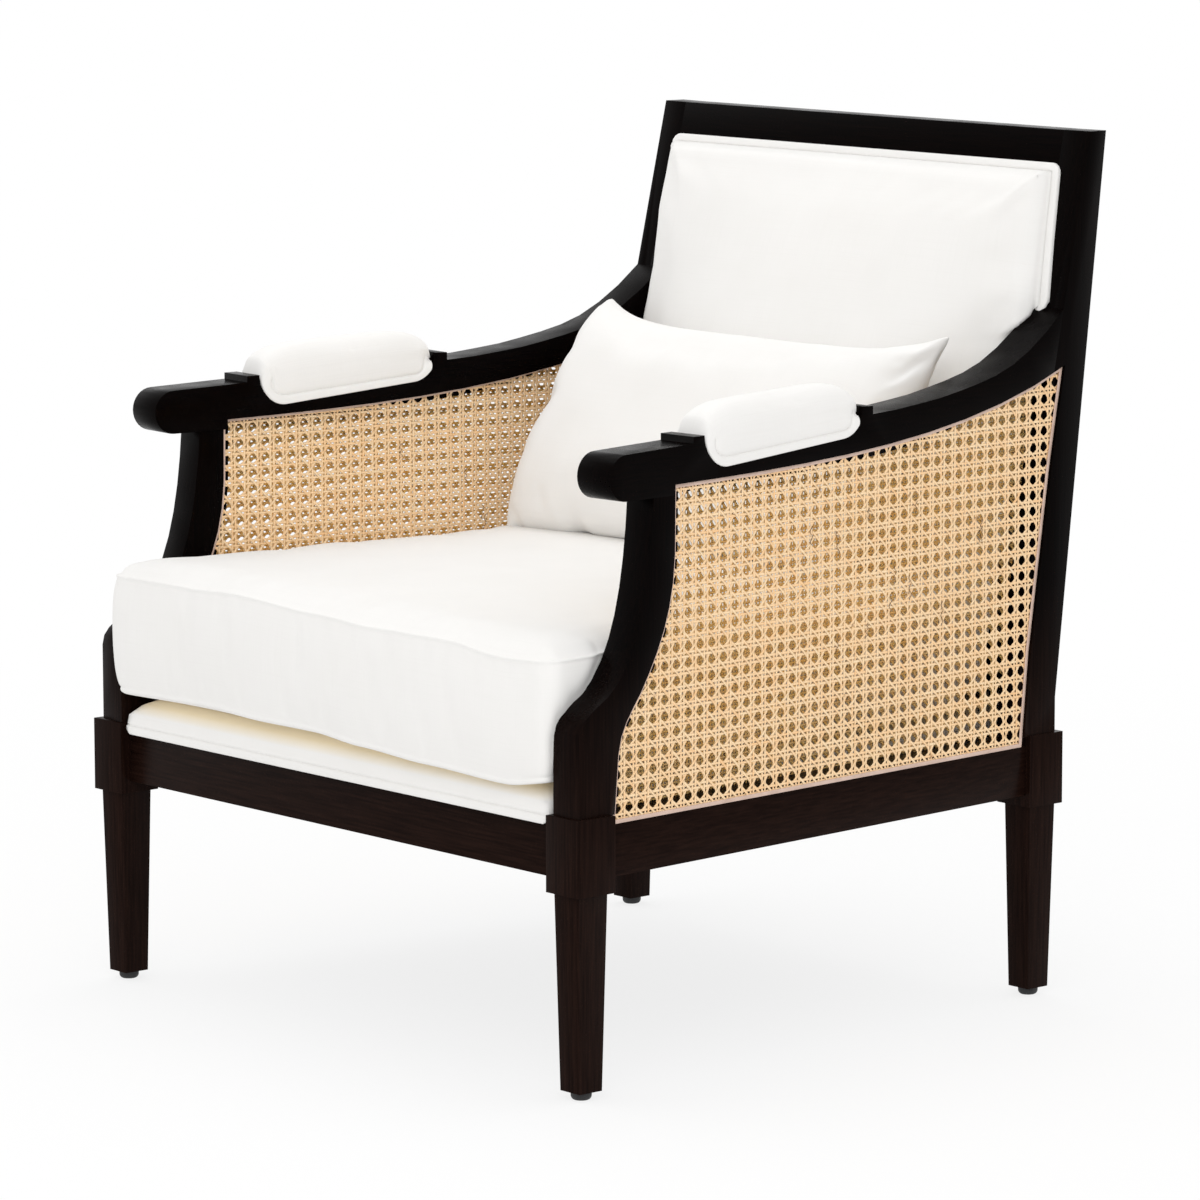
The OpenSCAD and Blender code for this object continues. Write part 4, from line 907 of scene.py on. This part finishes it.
def seat_half(y, z):
    """Half the cushion's width: to the posts beside them, and past them in front of them."""
    free = smooth_step((np.interp(z, POST_HEIGHTS, POST_FRONTS) - 3 * MM - y) / (14 * MM))
    return inner_x(y) - 3.2 * MM + free * SEAT_EAR


def seat_ring(u, v, z, out):
    """The cushion's outline at a height, or its inside where u and v are less than 1."""
    y0, y1 = SEAT_FRONT - out, SEAT[1].y + np.minimum(out, 1.5 * MM)
    middle, half_y = (y0 + y1) / 2, (y1 - y0) / 2
    half_x = seat_half(middle + v * half_y, z) + np.minimum(out, 2 * MM)
    x, y = rounded(u, v, half_x, half_y, SEAT_CORNER_R)
    draw = 4 * MM * (1 - u * u) * (v < 0)
    return x, y + middle - draw * np.abs(v) ** 6


def front_share(y):
    """1 at the cushion's front, 0 far behind it."""
    return smooth_step(1 - (y - SEAT_FRONT) / (70 * MM))


def seat_seam(x):
    """Height of the cushion's top seam before its waves."""
    return SEAT[1].z - 19 * MM - 3.5 * MM * x / SEAT[1].x


# Rows of the boxing, from the top panel's edge down: part of the height, and distance out in millimetres
BOXING_ROWS = [
    (0, -3.0), (0.0, -0.6), (0.006, 0.4), (0.016, 0.5), (0.028, -0.4), (0.045, 0.0), (0.09, 1.0),
    (0.16, 2.2), (0.25, 3.2), (0.36, 3.9), (0.48, 4.1), (0.6, 3.9), (0.71, 3.3), (0.8, 2.5), (0.87, 1.6),
    (0.92, 0.8), (0.935, 0.1), (0.945, -0.3), (0.955, 0.2), (0.975, 0.1), (0.99, -1.0), (1.0, -3.4),
]
# Parts of the height between which the boxing hangs free of its seams
BOXING_FREE = (0.03, 0.93)
BOXING_H = 0.118


def seat_cushion():
    """Loose box cushion: two panels and a boxing, crowned, with sewn edges and soft corners."""
    lo, hi = SEAT
    u, v = square_grid(86, 76)
    rim_u, rim_v = rim(u), rim(v)
    cloth = Cloth()
    start_x, start_y = seat_ring(rim_u, rim_v, np.full_like(rim_u, hi.z), 0)
    lane = np.stack([start_x, start_y], -1)
    run = run_of(lane)
    at_front = front_share(start_y)
    seam_top = seat_seam(start_x) + 1.0 * MM * wander(lane, 7, 1)
    seam_top += 0.7 * MM * wander(lane, 28, 2) + at_front * knotted_wave(start_x, TOP_SEAM_WAVE)
    edge_low = lo.z + 1.0 * MM + 0.5 * MM * wander(lane, 8, 3)
    edge_low += at_front * knotted_wave(start_x, LOW_SEAM_WAVE)
    puckers = wander(lane, 48, 4)
    rings, seams = [], []
    for number, (f, out) in enumerate(BOXING_ROWS):
        z = seam_top + (edge_low - seam_top) * f + (0.3 * MM if number == 0 else 0)
        ripple = 0.8 * MM * puckers * (math.exp(-f * 14) + math.exp(-(1 - f) * 14)) * (0.03 < f < 0.92)
        x, y = seat_ring(rim_u, rim_v, z, out * MM + ripple)
        rings.append(np.stack([x, y, z], -1))
        sewn = out < 0.6 and not BOXING_FREE[0] <= f <= BOXING_FREE[1]
        seams.append(np.full_like(x, float(sewn)))
    down = np.array([f for f, _ in BOXING_ROWS])[:, None] * BOXING_H
    cloth.grid(np.array(rings), paired(run, down), np.array(seams))
    for edge in (0, -1):
        x, y = seat_ring(u, v, np.full_like(u, rings[edge][:, 2].mean()), BOXING_ROWS[edge][1] * MM)
        flat = np.stack([x, y], -1)
        d = np.minimum((1 - np.abs(u)) * hi.x, (1 - np.abs(v)) * (hi.y - lo.y) / 2)
        if edge == 0:
            pull = np.exp(-d / (15 * MM))
            base = seat_seam(x) + pull * 1.0 * MM * wander(flat, 7, 1)
            base = base + front_share(y) * knotted_wave(x, TOP_SEAM_WAVE) * np.exp(-d / (60 * MM))
            rise = 13 * MM * dome(d, 42 * MM, 2.6) + 7 * MM * (1 - u ** 2) * (1 - v ** 2)
            lumps = 1.2 * MM * wander(flat, 8, 5) * dome(d, 120 * MM)
            lumps = lumps + 3.2 * MM * pull * (1 - pull) * wander(flat, 50, 6)
            z = np.minimum(base + rise + lumps, hi.z + 2.5 * MM)
            held = (np.maximum(np.abs(u), np.abs(v)) == 1).astype(float)
        else:
            droop = front_share(y) * knotted_wave(x, LOW_SEAM_WAVE)
            z = lo.z + 0.1 * MM + (0.9 * MM + droop) * np.exp(-d / (7 * MM))
            held = np.ones_like(u)
        grid = np.stack([x, y, z], -1)
        set_rim(grid, rings[edge])
        cloth.grid(grid, flat, held)
    obj = cloth.build("seat_cushion_canvas", "seat_cushion", FABRIC)
    inflate(obj, 3.0, 4 * MM, looseness=0.006)
    subdivide(obj)
    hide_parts("seat_cushion_cover", "seat_cushion_core")


def set_rim(grid, ring):
    """Puts a ring of points, as rim() gives it, on a grid's edge."""
    number = np.arange(grid[..., 0].size).reshape(grid.shape[:2])
    grid[np.unravel_index(rim(number), number.shape)] = ring


PILLOW_LEAN = math.radians(31)
# The pillow's lower seam: place across and rise
PILLOW_HEM = [(-254, 0), (-238, 3.5), (-222, 0.5), (-176, -1), (-150, 5), (-128, 0), (-40, 1.5), (120, 0),
              (254, 0)]
# Its creases at the right ear: distances in from the corner, lean, length and depth
PILLOW_CREASES = [(16 * MM, 34 * MM, 1.18, 30 * MM, 5.0 * MM), (5 * MM, 30 * MM, 1.36, 24 * MM, 3.0 * MM)]


def lumbar_pillow():
    """Loose knife-edged pillow: two panels sewn at the rim, drawn in between the ears at its corners."""
    lo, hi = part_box("lumbar_pillow_cover")
    middle = np.array((lo + hi) / 2)
    up = np.array([0, math.sin(PILLOW_LEAN), math.cos(PILLOW_LEAN)])
    front = np.array([0, -math.cos(PILLOW_LEAN), math.sin(PILLOW_LEAN)])
    half_w, half_h, half_t = hi.x + 2 * MM, 138 * MM, 47 * MM
    u, v = square_grid(84, 52)
    u, v = np.sin(u * math.pi / 2) * 0.35 + u * 0.65, np.sin(v * math.pi / 2) * 0.35 + v * 0.65
    draw_w, draw_h = np.where(u < 0, 1 * MM, 12 * MM), 15 * MM
    x = u * (half_w + np.where(u < 0, 4 * MM, 0) * np.abs(u) - draw_w * (1 - v ** 4) * u * u)
    low_h = half_h - draw_h * (1 - np.abs(u) ** 3.5) * v * v
    top_h = half_h + (6 * MM - 27 * MM * (1 - np.abs(u) ** 5)) * v * v
    h = v * np.where(v > 0, top_h, low_h)
    h = h + smooth_step((-v - 0.75) / 0.25) * knotted_wave(x, PILLOW_HEM)
    flat = np.stack([x, h], -1)
    d = np.minimum((1 - np.abs(u)) * half_w, (1 - np.abs(v)) * half_h)
    near = np.exp(-d / (22 * MM))
    end_width = 0.17 + 0.45 * smooth_step(u / 0.8 + 0.5)
    full = (dome((1 - np.abs(u)), end_width, 2.1) * dome((1 - np.abs(v)), 0.8, 2.1)) ** 0.9
    creases = sum(crease(x - half_w, h - half_h, *shape, 3.6 * MM) for shape in PILLOW_CREASES)
    folds = wander(np.stack([u * 5, v * 3], -1), 1, 15)
    cloth = Cloth()
    held = np.where(d < 0.5 * MM, 1.0, 0.0)
    for face in (1, -1):
        thick = half_t * full * (1 if face > 0 else 0.94) + 0.8 * MM * (d > 0)
        lumps = 2.0 * MM * wander(flat, 11, 10 + face) + 1.8 * MM * near * wander(flat, 34, 12 + face)
        thick = thick + full ** 0.5 * lumps + full * 1.5 * MM * folds - creases * (d > 0)
        points = middle + x[..., None] * ACROSS + h[..., None] * up + (face * thick)[..., None] * front
        cloth.grid(points, flat, held)
    obj = cloth.build("lumbar_pillow_canvas", "lumbar_pillow", FABRIC)
    inflate(obj, 2.5, 4 * MM, stiff=8.0, looseness=0.02)
    subdivide(obj)
    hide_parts("lumbar_pillow_cover", "lumbar_pillow_insert")


BACK_OUT = flat_normal("back_pad_flange", Vector((0, -1, 0)))
BACK_UP = np.cross(BACK_OUT, -ACROSS)
BACK_UP *= np.sign(BACK_UP[2])


def back_point(x, h, t):
    """Points of the back from their places across it, up it and out of it."""
    x, h, t = (np.asarray(value, float)[..., None] for value in (x, h, t))
    return x * ACROSS + h * BACK_UP + t * BACK_OUT


def back_yz(h, t):
    """How far along the chair and how high such points are."""
    return h * BACK_UP[1] + t * BACK_OUT[1], h * BACK_UP[2] + t * BACK_OUT[2]


def back_extent(name):
    """Lowest and highest place of a node up the back, and out of it."""
    points = node_points(name)
    h, t = points @ BACK_UP, points @ BACK_OUT
    return h.min(), h.max(), t.min(), t.max()


# The back pad's flange is measured above this height
FLANGE_FROM = 0.6
# Room between stretched cloth and the side frames
FRAME_GAP = 0.8 * MM
# How far the inside back laps over the wood's faces: heights, and laps at the right and at the left
BACK_LAP_Z = (0.70, 0.76, 0.834)
BACK_LAP_RIGHT = (16 * MM, 10 * MM, 4.5 * MM)
BACK_LAP_LEFT = (0.0, 9 * MM, 9 * MM)
# Creases at the inside back's top right: distances in from the corner, lean, length and depth
BACK_CREASES = [(44 * MM, 23 * MM, 0.12, 14 * MM, 1.3 * MM), (24 * MM, 42 * MM, 1.0, 10 * MM, 1.1 * MM)]


def inside_back():
    """Inside back: a stuffed cover with a wide dome and a flat sewn flange against the frame."""
    low, high = back_extent("back_pad_flange")[:2]
    pad_front = back_extent("back_pad")[3]
    upper = node_points("back_pad_flange")
    upper = upper[upper[:, 2] > FLANGE_FROM]
    base = (upper @ BACK_OUT).max() - 3 * MM
    half_h, mid_h = (high - low) / 2 + 0.5 * MM, (high + low) / 2
    crown_h = pad_front - base - 22 * MM
    reference = inner_x(back_yz(mid_h, base)[0]) - FRAME_GAP

    def lap(x, h, t):
        """How far a point near the edge stands out over the wood of the arm or the stile beside it."""
        y, z = back_yz(h, t)
        arm_top = np.interp((y - COLLAR[1]) / SIDE_ALONG[1], SWEEP_PLACES, SWEEP_TOPS)
        right = smooth_step((z - arm_top + 3 * MM) / (8 * MM)) * np.interp(z, BACK_LAP_Z, BACK_LAP_RIGHT)
        left = np.interp(z, BACK_LAP_Z, BACK_LAP_LEFT)
        return np.sign(x) * np.where(x > 0, right, left) * np.abs(x / reference) ** 5

    def place(x, y, d, lift):
        h = y + mid_h
        inside = d - EDGE_W
        flat = np.stack([x, y], -1)
        base_y, base_z = back_yz(h, base)
        above_arms = smooth_step((base_z - BACK_LAP_Z[0]) / (50 * MM))
        full = dome(inside, 10 * MM + 13 * MM * smooth_step(x / reference) * above_arms, 2.2)
        wide = (1 - (x / reference) ** 2) * (1 - (y / half_h) ** 2)
        lumps = 1.4 * MM * wander(flat, 7, 21) * full
        puckers = 0.9 * MM * wander(flat, 42, 22) * np.exp(-np.abs(inside) / (16 * MM))
        creases = sum(crease(x - reference, y - half_h, *shape, 5 * MM) for shape in BACK_CREASES)
        body = (18 * MM * full + crown_h * wide + lumps + puckers - creases) * (inside > 0)
        t = base + sewn_edge(d, 3.2 * MM) + body + lift
        beside = inner_x(base_y) - FRAME_GAP
        return back_point(x * beside / reference + lap(x, h, t), h, t)

    def corner(u):
        return np.full_like(u, 10 * MM)

    obj = stuffed_cover("inside_back_canvas", (reference, half_h), corner, (104, 92), place,
                        under=2 * MM, pressure=2.0, cap=2.5 * MM)
    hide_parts("back_pad", "back_pad_flange")


# Rows of the deck's flange, from its lower edge up: inset and height in millimetres, and whether it's held
DECK_ROWS = [
    (1.5, 0.0, 1), (0.0, 0.0, 1), (-1.0, 0.5, 1), (-1.2, 2.0, 1), (-1.3, 5.0, 1), (-1.2, 7.5, 1),
    (-0.7, 8.4, 1), (0.5, 9.0, 1), (0.4, 9.6, 1), (-0.1, 10.6, 1), (0.1, 12, 0), (0.6, 14, 0), (1.5, 16, 0),
]
# The row with the stitches, in the groove
DECK_STITCH_ROW = 7
# The flange's height in millimetres
DECK_FLANGE_H = 9


def seat_deck():
    """Sprung platform under the cushion: a domed cover whose sewn edge hangs at the front rail's top."""
    lo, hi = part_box("seat_deck")
    band_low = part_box("front_rail")[1].z + 0.3 * MM
    half_y, mid_y = (hi.y - lo.y) / 2, (hi.y + lo.y) / 2
    reference = hi.x - half_y * SIDE_OUT[1] / SIDE_OUT[0]
    radius = 5 * MM
    end_round = 8 * MM
    u, v = square_grid(76, 66)
    rim_u, rim_v = rim(u), rim(v)

    def plan(x, y):
        """Carries a place on the deck's reference rectangle onto its own tapered plan."""
        y_real = y + mid_y
        return x * (hi.x - (y_real - lo.y) * SIDE_OUT[1] / SIDE_OUT[0]) / reference, y_real

    cloth = Cloth()
    inner = 1.5 * MM
    x, y = rounded(u, v, reference - inner, half_y - inner, radius - inner)
    d = edge_distance(x, y, reference, half_y, radius)
    side_d, front_d = reference - np.abs(x), half_y - np.abs(y)
    start = band_low + DECK_ROWS[-1][1] * MM
    rise = (hi.z - start) * dome(side_d, 62 * MM, 1.8) ** 0.8 * dome(front_d, 20 * MM)
    flat = np.stack([x, y], -1)
    px, py = plan(x, y)
    z = start + rise + 0.3 * MM * wander(flat, 30, 31) * (rise < 0.97 * (hi.z - start))
    cloth.grid(np.stack([px, py, np.minimum(z, hi.z)], -1), flat)
    grid_rows, seams = [], []
    edge_x, edge_y = rounded(rim_u, rim_v, reference, half_y, radius)
    lane = np.stack(plan(edge_x, edge_y), -1)
    from_end = np.clip(reference - np.abs(edge_x), 0, end_round)
    raised = end_round - np.sqrt(end_round ** 2 - (end_round - from_end) ** 2)
    ripple = wander(lane, 40, 32)
    for inset, up, held in DECK_ROWS:
        inset = inset * MM
        px, py = plan(*rounded(rim_u, rim_v, reference - inset, half_y - inset, radius - inset))
        wave = 0.35 * MM * ripple * (up > 10)
        low_level = raised + up * MM * (1 - raised / (DECK_FLANGE_H * MM))
        level = np.where(up < DECK_FLANGE_H, low_level, up * MM)
        grid_rows.append(np.stack([px, py, band_low + level + wave], -1))
        seams.append(np.full_like(px, float(held)))
    grid_rows = np.array(grid_rows)
    grid_rows[-1, :, 2] = rim(np.minimum(z, hi.z))
    downs = np.array([up * MM for _, up, _ in DECK_ROWS])[:, None]
    cloth.grid(grid_rows, paired(run_of(lane), downs), np.array(seams))
    obj = cloth.build("seat_deck_canvas", "frame", DECK_CLOTH)
    sides = [np.where(np.abs(edge) > 0.999, np.sign(edge), 0.0) for edge in (rim_u, rim_v)]
    outwards = unit(np.stack([*sides, np.zeros_like(rim_u)], -1))
    add_stitches(obj, grid_rows[DECK_STITCH_ROW] + outwards * 0.4 * MM, outwards, rim_v < -0.9)
    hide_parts("seat_deck", "deck_flange")


# A height over the arm where it carries its pad
OVER_ARM = 0.75
# Radii of an arm pad's front and rear corners, and its height over the arm
PAD_FRONT_R = 33 * MM
PAD_REAR_R = 27 * MM
PAD_CROWN = 38 * MM


def arm_pad(word, side):
    """Stuffed arm rest: a dome over the arm, whose flat sewn edge hangs down both of the arm's sides."""
    edge = side_coordinates(node_points("arm_pad_flange_right"))
    s0, s1 = edge[:, 0].min(), edge[:, 0].max()
    half_arm = np.ptp(ARM[:, 1]) / 2
    mid_s, half_s = (s0 + s1) / 2, (s1 - s0) / 2
    stations_s = mid_s + half_s * np.linspace(-0.7, 0.7, 9)
    floor_z = [ray_hit("arm_right", side_point(s, ARM_MIDDLE, OVER_ARM), DOWN).z for s in stations_s]
    slope, base = np.polyfit(stations_s, floor_z, 1)
    low_s = (s0 + 36 * MM, s1 - 36 * MM)
    low_z = [edge[np.abs(edge[:, 0] - s) < 8 * MM][:, 2].min() for s in low_s]
    low_slope, low_base = np.polyfit(low_s, low_z, 1)
    # The cover turns over the arm's edges round a shoulder
    sink, shoulder = 4 * MM, 4 * MM
    top_run = half_arm - sink - shoulder
    bend = shoulder * math.pi / 2

    def hang(s):
        """How far the cover hangs below its turn over the arm's edge."""
        return base + slope * s - low_base - low_slope * s - shoulder

    half_q = top_run + bend + hang(mid_s)

    def place(x, y, d, lift):
        s = x + mid_s
        tau = np.abs(y) / half_q
        wood = base + slope * s
        rise = sink * dome(d, 0.7 * MM) + sewn_edge(d, 1.4 * MM)
        reach = tau * (top_run + bend + hang(s))
        turned = np.clip((reach - top_run) / bend, 0, 1) * math.pi / 2
        drop = np.maximum(reach - top_run - bend, 0)
        strip_out = np.minimum(reach, top_run) + np.sin(turned) * (shoulder + rise + lift)
        strip_z = wood - shoulder - drop + np.cos(turned) * (shoulder + rise + lift)
        crown = PAD_CROWN * (1 - np.clip(np.abs(x) / half_s, 0, 1) ** 6.5) ** 0.42
        turn = np.minimum(tau * half_q / (half_q - EDGE_W), 1) * math.pi / 2
        seam_z = low_base + low_slope * s + EDGE_W
        flat = np.stack([x, y], -1)
        puckers = 0.6 * MM * wander(flat, 55, 41 + side) * np.exp(-np.abs(d - EDGE_W) / (10 * MM))
        lumps = 1.0 * MM * wander(flat, 14, 43 + side)
        dome_out = (half_arm + 2.2 * MM + puckers) * np.sin(turn) ** 0.6
        dome_z = seam_z + (wood + crown + lumps - seam_z) * np.cos(turn) ** 0.75 + lift
        over_end = 14 * MM * smooth_step((0.62 - tau) / 0.27)
        blend = smooth_step((d + over_end - EDGE_W) / (13 * MM)) * dome(d, 1.5 * MM)
        groove = 1.5 * MM * np.exp(-((d - EDGE_W) / (1.2 * MM)) ** 2)
        out = strip_out + blend * (dome_out - strip_out) - groove * (tau > 0.5)
        z = strip_z + blend * (dome_z - strip_z)
        return mirrored(side_point(s, ARM_MIDDLE + np.sign(y) * out, z), side)

    def corner(u):
        return np.where(u < 0, PAD_FRONT_R, PAD_REAR_R)

    obj = stuffed_cover(f"arm_pad_canvas_{word}", (half_s, half_q), corner, (72, 56), place,
                        under=0.0, pressure=1.5, cap=1.0 * MM, stitched_from=0.5)
    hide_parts(f"arm_pad_{word}", f"arm_pad_flange_{word}")


PANEL_T = 0.8 * MM


def stretched_sheet(cloth, name, node, material, thickness):
    """Makes gathered cloth a stretched sheet in the place of a CAD node."""
    obj = cloth.build(name, "frame", material)
    solid = obj.modifiers.new("Thickness", "SOLIDIFY")
    solid.thickness = thickness
    solid.offset = 0
    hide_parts(node)


def stretched_panel(name, node, material, points, flat_size):
    """A panel of one grid of points."""
    cloth = Cloth()
    u, v = (np.linspace(0, size, count) for size, count in zip(flat_size, points.shape))
    cloth.grid(points, np.stack(np.meshgrid(u, v, indexing="ij"), -1))
    stretched_sheet(cloth, name, node, material, PANEL_T)


def dust_cover():
    """Black cloth under the seat, with a little sag."""
    lo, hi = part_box("dust_cover")
    u, v = square_grid(30, 30)
    y = (lo.y + hi.y) / 2 + v * (hi.y - lo.y) / 2
    half = hi.x - (y - lo.y) * SIDE_OUT[1] / SIDE_OUT[0]
    sag = 3 * MM * (1 - u ** 2) * (1 - v ** 2)
    points = np.stack([u * half, y, (lo.z + hi.z) / 2 - sag], -1)
    stretched_panel("dust_cover_cloth", "dust_cover", LINING,
                    points, (2 * half.mean(), hi.y - lo.y))


def outside_back():
    """Canvas over the back frame's rear face."""
    lo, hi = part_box("outside_back_panel")
    u, v = square_grid(30, 40)
    z = (lo.z + hi.z) / 2 + v * (hi.z - lo.z) / 2
    heights = np.clip(z[0], lo.z + MM, hi.z - MM)
    rear = [ray_hit("outside_back_panel", (0, 1, height), (0, -1, 0)).y for height in heights]
    y = np.broadcast_to(np.array(rear), z.shape) - PANEL_T / 2
    half = inner_x(y) - FRAME_GAP
    length = run_of(np.stack([y[0], z[0]], -1))[-1]
    stretched_panel("outside_back_canvas", "outside_back_panel", FABRIC,
                    np.stack([u * half, y, z], -1), (2 * half.mean(), length))


STRAP_W = 50 * MM
STRAP_T = 1.1 * MM
# How far a back strap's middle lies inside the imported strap's face
STRAP_SINK = 0.7 * MM


def strap_places(struck, span, lines):
    """Middles of the straps that cross the emptiest of some lines: struck(a, line) says where cloth is."""
    steps = np.arange(span[0], span[1], 4 * MM)
    best = min((np.array([struck(a, line) for a in steps]) for line in lines), key=np.sum)
    edges = np.flatnonzero(np.diff(np.concatenate([[0], best.astype(int), [0]])))
    return [(steps[a] + steps[b - 1]) / 2 for a, b in zip(edges[::2], edges[1::2])]


def strap(cloth, middle, across, run_start):
    """Adds one flat strap along a row of points, and gives the distance run at its end."""
    offsets = np.linspace(-0.5, 0.5, 7) * STRAP_W
    points = middle[:, None] + offsets[None, :, None] * np.array(across)
    run = run_start + run_of(middle)
    cloth.grid(points, paired(offsets, run[:, None]))
    return run[-1]


def finish_straps(cloth, name, node, length):
    stretched_sheet(cloth, name, node, WEBBING, STRAP_T)


def seat_straps():
    """Interlaced jute straps over the seat frame."""
    lo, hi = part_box("seat_webbing")

    def along_hit(x, y):
        return ray_hit("seat_webbing", (x, y, 1), DOWN) is not None

    fore_aft = strap_places(along_hit, (-0.27, 0.27), np.linspace(lo.y + 60 * MM, hi.y - 60 * MM, 60))
    span = (lo.y + 40 * MM, hi.y - 40 * MM)
    cross = strap_places(lambda y, x: along_hit(x, y), span, np.linspace(-0.26, 0.26, 60))
    middle_z = (lo.z + hi.z) / 2
    cloth, length = Cloth(), 0.0
    for i, x in enumerate(fore_aft):
        y = np.linspace(lo.y + 1 * MM, hi.y - 1 * MM, 60)
        middle = np.stack([np.full_like(y, x), y, middle_z + weave_level(y, cross, i)], -1)
        length = strap(cloth, middle, ACROSS, length)
    for j, y in enumerate(cross):
        half = inner_x(y + STRAP_W / 2) - 1 * MM
        x = np.linspace(-half, half, 60)
        middle = np.stack([x, np.full_like(x, y), middle_z + weave_level(x, fore_aft, j + 1)], -1)
        length = strap(cloth, middle, (0, 1, 0), length)
    finish_straps(cloth, "seat_webbing_straps", "seat_webbing", length)


def weave_level(along, crossings, start):
    """Height of a strap that goes over and under the straps it crosses."""
    places = np.array([along[0] - 0.1, *crossings, along[-1] + 0.1])
    signs = np.array([0, *[(-1) ** (start + k) for k in range(len(crossings))], 0])
    near = np.argmin(np.abs(along[:, None] - places[None]), axis=1)
    return 0.6 * MM * signs[near] * smooth_step(2.4 - np.abs(along - places[near]) / (STRAP_W / 2))


def back_straps():
    """Jute straps over the back frame: crosswise ones in front, upright ones behind."""
    low, high, behind, front = back_extent("back_webbing")

    def level(x, h, side):
        """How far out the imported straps' front (1) or rear (-1) face is, or None beside them."""
        clear = front + 0.2 if side > 0 else behind - 0.2
        found = ray_hit("back_webbing", back_point(x, h, clear), -side * BACK_OUT)
        return None if found is None else np.array(found) @ BACK_OUT

    def levels(places, side):
        """The face's level at each of some places, carried over the gaps."""
        found = [level(*place, side) for place in places]
        known = [i for i, value in enumerate(found) if value is not None]
        return np.interp(np.arange(len(found)), known, [found[i] for i in known])

    def hit(x, h):
        return level(x, h, 1) is not None

    span = (low + 30 * MM, high - 30 * MM)
    upright = strap_places(hit, (-0.28, 0.28), np.linspace(*span, 60))
    crosswise = strap_places(lambda h, x: hit(x, h), span, np.linspace(-0.27, 0.27, 60))
    cloth, length = Cloth(), 0.0
    for h in crosswise:
        half = inner_x(back_yz(h, front)[0]) - 2 * MM
        x = np.linspace(-half, half, 24)
        out = np.median(levels([(place, h) for place in x], 1)) - STRAP_SINK
        length = strap(cloth, back_point(x, h, out), BACK_UP, length)
    for x in upright:
        h = np.linspace(low + 2 * MM, high - 2 * MM, 24)
        out = levels([(x, place) for place in h], -1) + STRAP_SINK
        length = strap(cloth, back_point(x, h, out), ACROSS, length)
    finish_straps(cloth, "back_webbing_straps", "back_webbing", length)


seat_cushion()
lumbar_pillow()
inside_back()
seat_deck()
for side_word, side_sign in SIDES:
    arm_pad(side_word, side_sign)
dust_cover()
outside_back()
seat_straps()
back_straps()

# Studio

# The surroundings' light. The camera and the mirrors see them plain white.
WORLD_LIGHT = 0.86
# Name, place, size, power
LAMPS = (
    ("Key light", (2.7, -2.7, 2.5), 2.0, 30),
    ("Top light", (-0.6, 0.2, 3.2), 2.2, 19),
)
LAMP_TARGET = Vector((0, 0, 0.4))


def studio():
    """White surroundings and two lamps."""
    scene = bpy.context.scene
    world = bpy.data.worlds.new("Studio")
    world.use_nodes = True
    scene.world = world
    made = Nodes(world.node_tree)
    background = made.tree.nodes["Background"].inputs
    rays = made.node("LightPath").outputs
    seen = made.maths("MAXIMUM", rays["Is Camera Ray"], rays["Is Transmission Ray"])
    white = made.maths("MAXIMUM", seen, rays["Is Glossy Ray"])
    background["Color"].default_value = (1, 1, 1, 1)
    made.wire(made.spread(white, 0.0, 1.0, WORLD_LIGHT, 1.0), background["Strength"])
    scene.view_settings.view_transform = "Standard"
    for name, place, size, power in LAMPS:
        lamp = bpy.data.lights.new(name, "AREA")
        lamp.size = size
        lamp.energy = power
        obj = placed(name, lamp)
        obj.location = place
        obj.rotation_euler = (LAMP_TARGET - Vector(place)).to_track_quat("-Z", "Y").to_euler()


FLOOR_REACH = 14.0
# Distances between which the floor goes over into plain white, and the share of white at the first
FLOOR_FADE = (0.5, 2.2)
FLOOR_WHITE = 0.80


def floor():
    """A white floor with soft shadows near the chair."""
    made = Material("Studio floor")
    made.set(Roughness=0.9, Specular_IOR_Level=0.1)
    cloud = made.noise(made.stretched((2, 2, 2)), 2.0)
    made.colour(made.blend(made.spread(cloud, 0.3, 0.7), (0.93, 0.93, 0.93), (0.94, 0.94, 0.94)))
    rays = made.node("LightPath").outputs
    glow = made.node("Emission", {"Strength": 1.0}).outputs[0]
    distance = made.node("VectorMath", {0: made.stretched((1, 1, 1))}, operation="LENGTH").outputs["Value"]
    away = made.spread(distance, *FLOOR_FADE, FLOOR_WHITE, 1.0)
    looked_at = made.maths("MAXIMUM", rays["Is Camera Ray"], rays["Is Glossy Ray"])
    share = made.maths("MULTIPLY", looked_at, away)
    mix = made.node("MixShader", {0: share, 1: made.shader.outputs[0], 2: glow}).outputs[0]
    made.wire(mix, made.tree.nodes["Material Output"].inputs["Surface"])
    mesh = bpy.data.meshes.new("floor")
    corners = [(x * FLOOR_REACH, y * FLOOR_REACH, 0) for x, y in ((-1, -1), (1, -1), (1, 1), (-1, 1))]
    mesh.from_pydata(corners, [], [(0, 1, 2, 3)])
    obj = placed("studio_floor", mesh)
    obj.data.materials.append(made.material)


SENSOR_W = 36
CLIP_END = 60


def camera():
    """The photograph's camera."""
    data = bpy.data.cameras.new("Camera")
    data.lens = CAMERA_LENS
    data.sensor_width = SENSOR_W
    data.clip_end = CLIP_END
    obj = placed("Camera", data)
    forward = (CAMERA_TARGET - CAMERA_AT).normalized()
    turn = forward.to_track_quat("-Z", "Y").to_matrix().to_4x4() @ Matrix.Rotation(CAMERA_ROLL, 4, "Z")
    obj.matrix_world = Matrix.Translation(CAMERA_AT) @ turn
    bpy.context.scene.camera = obj


studio()
floor()
camera()
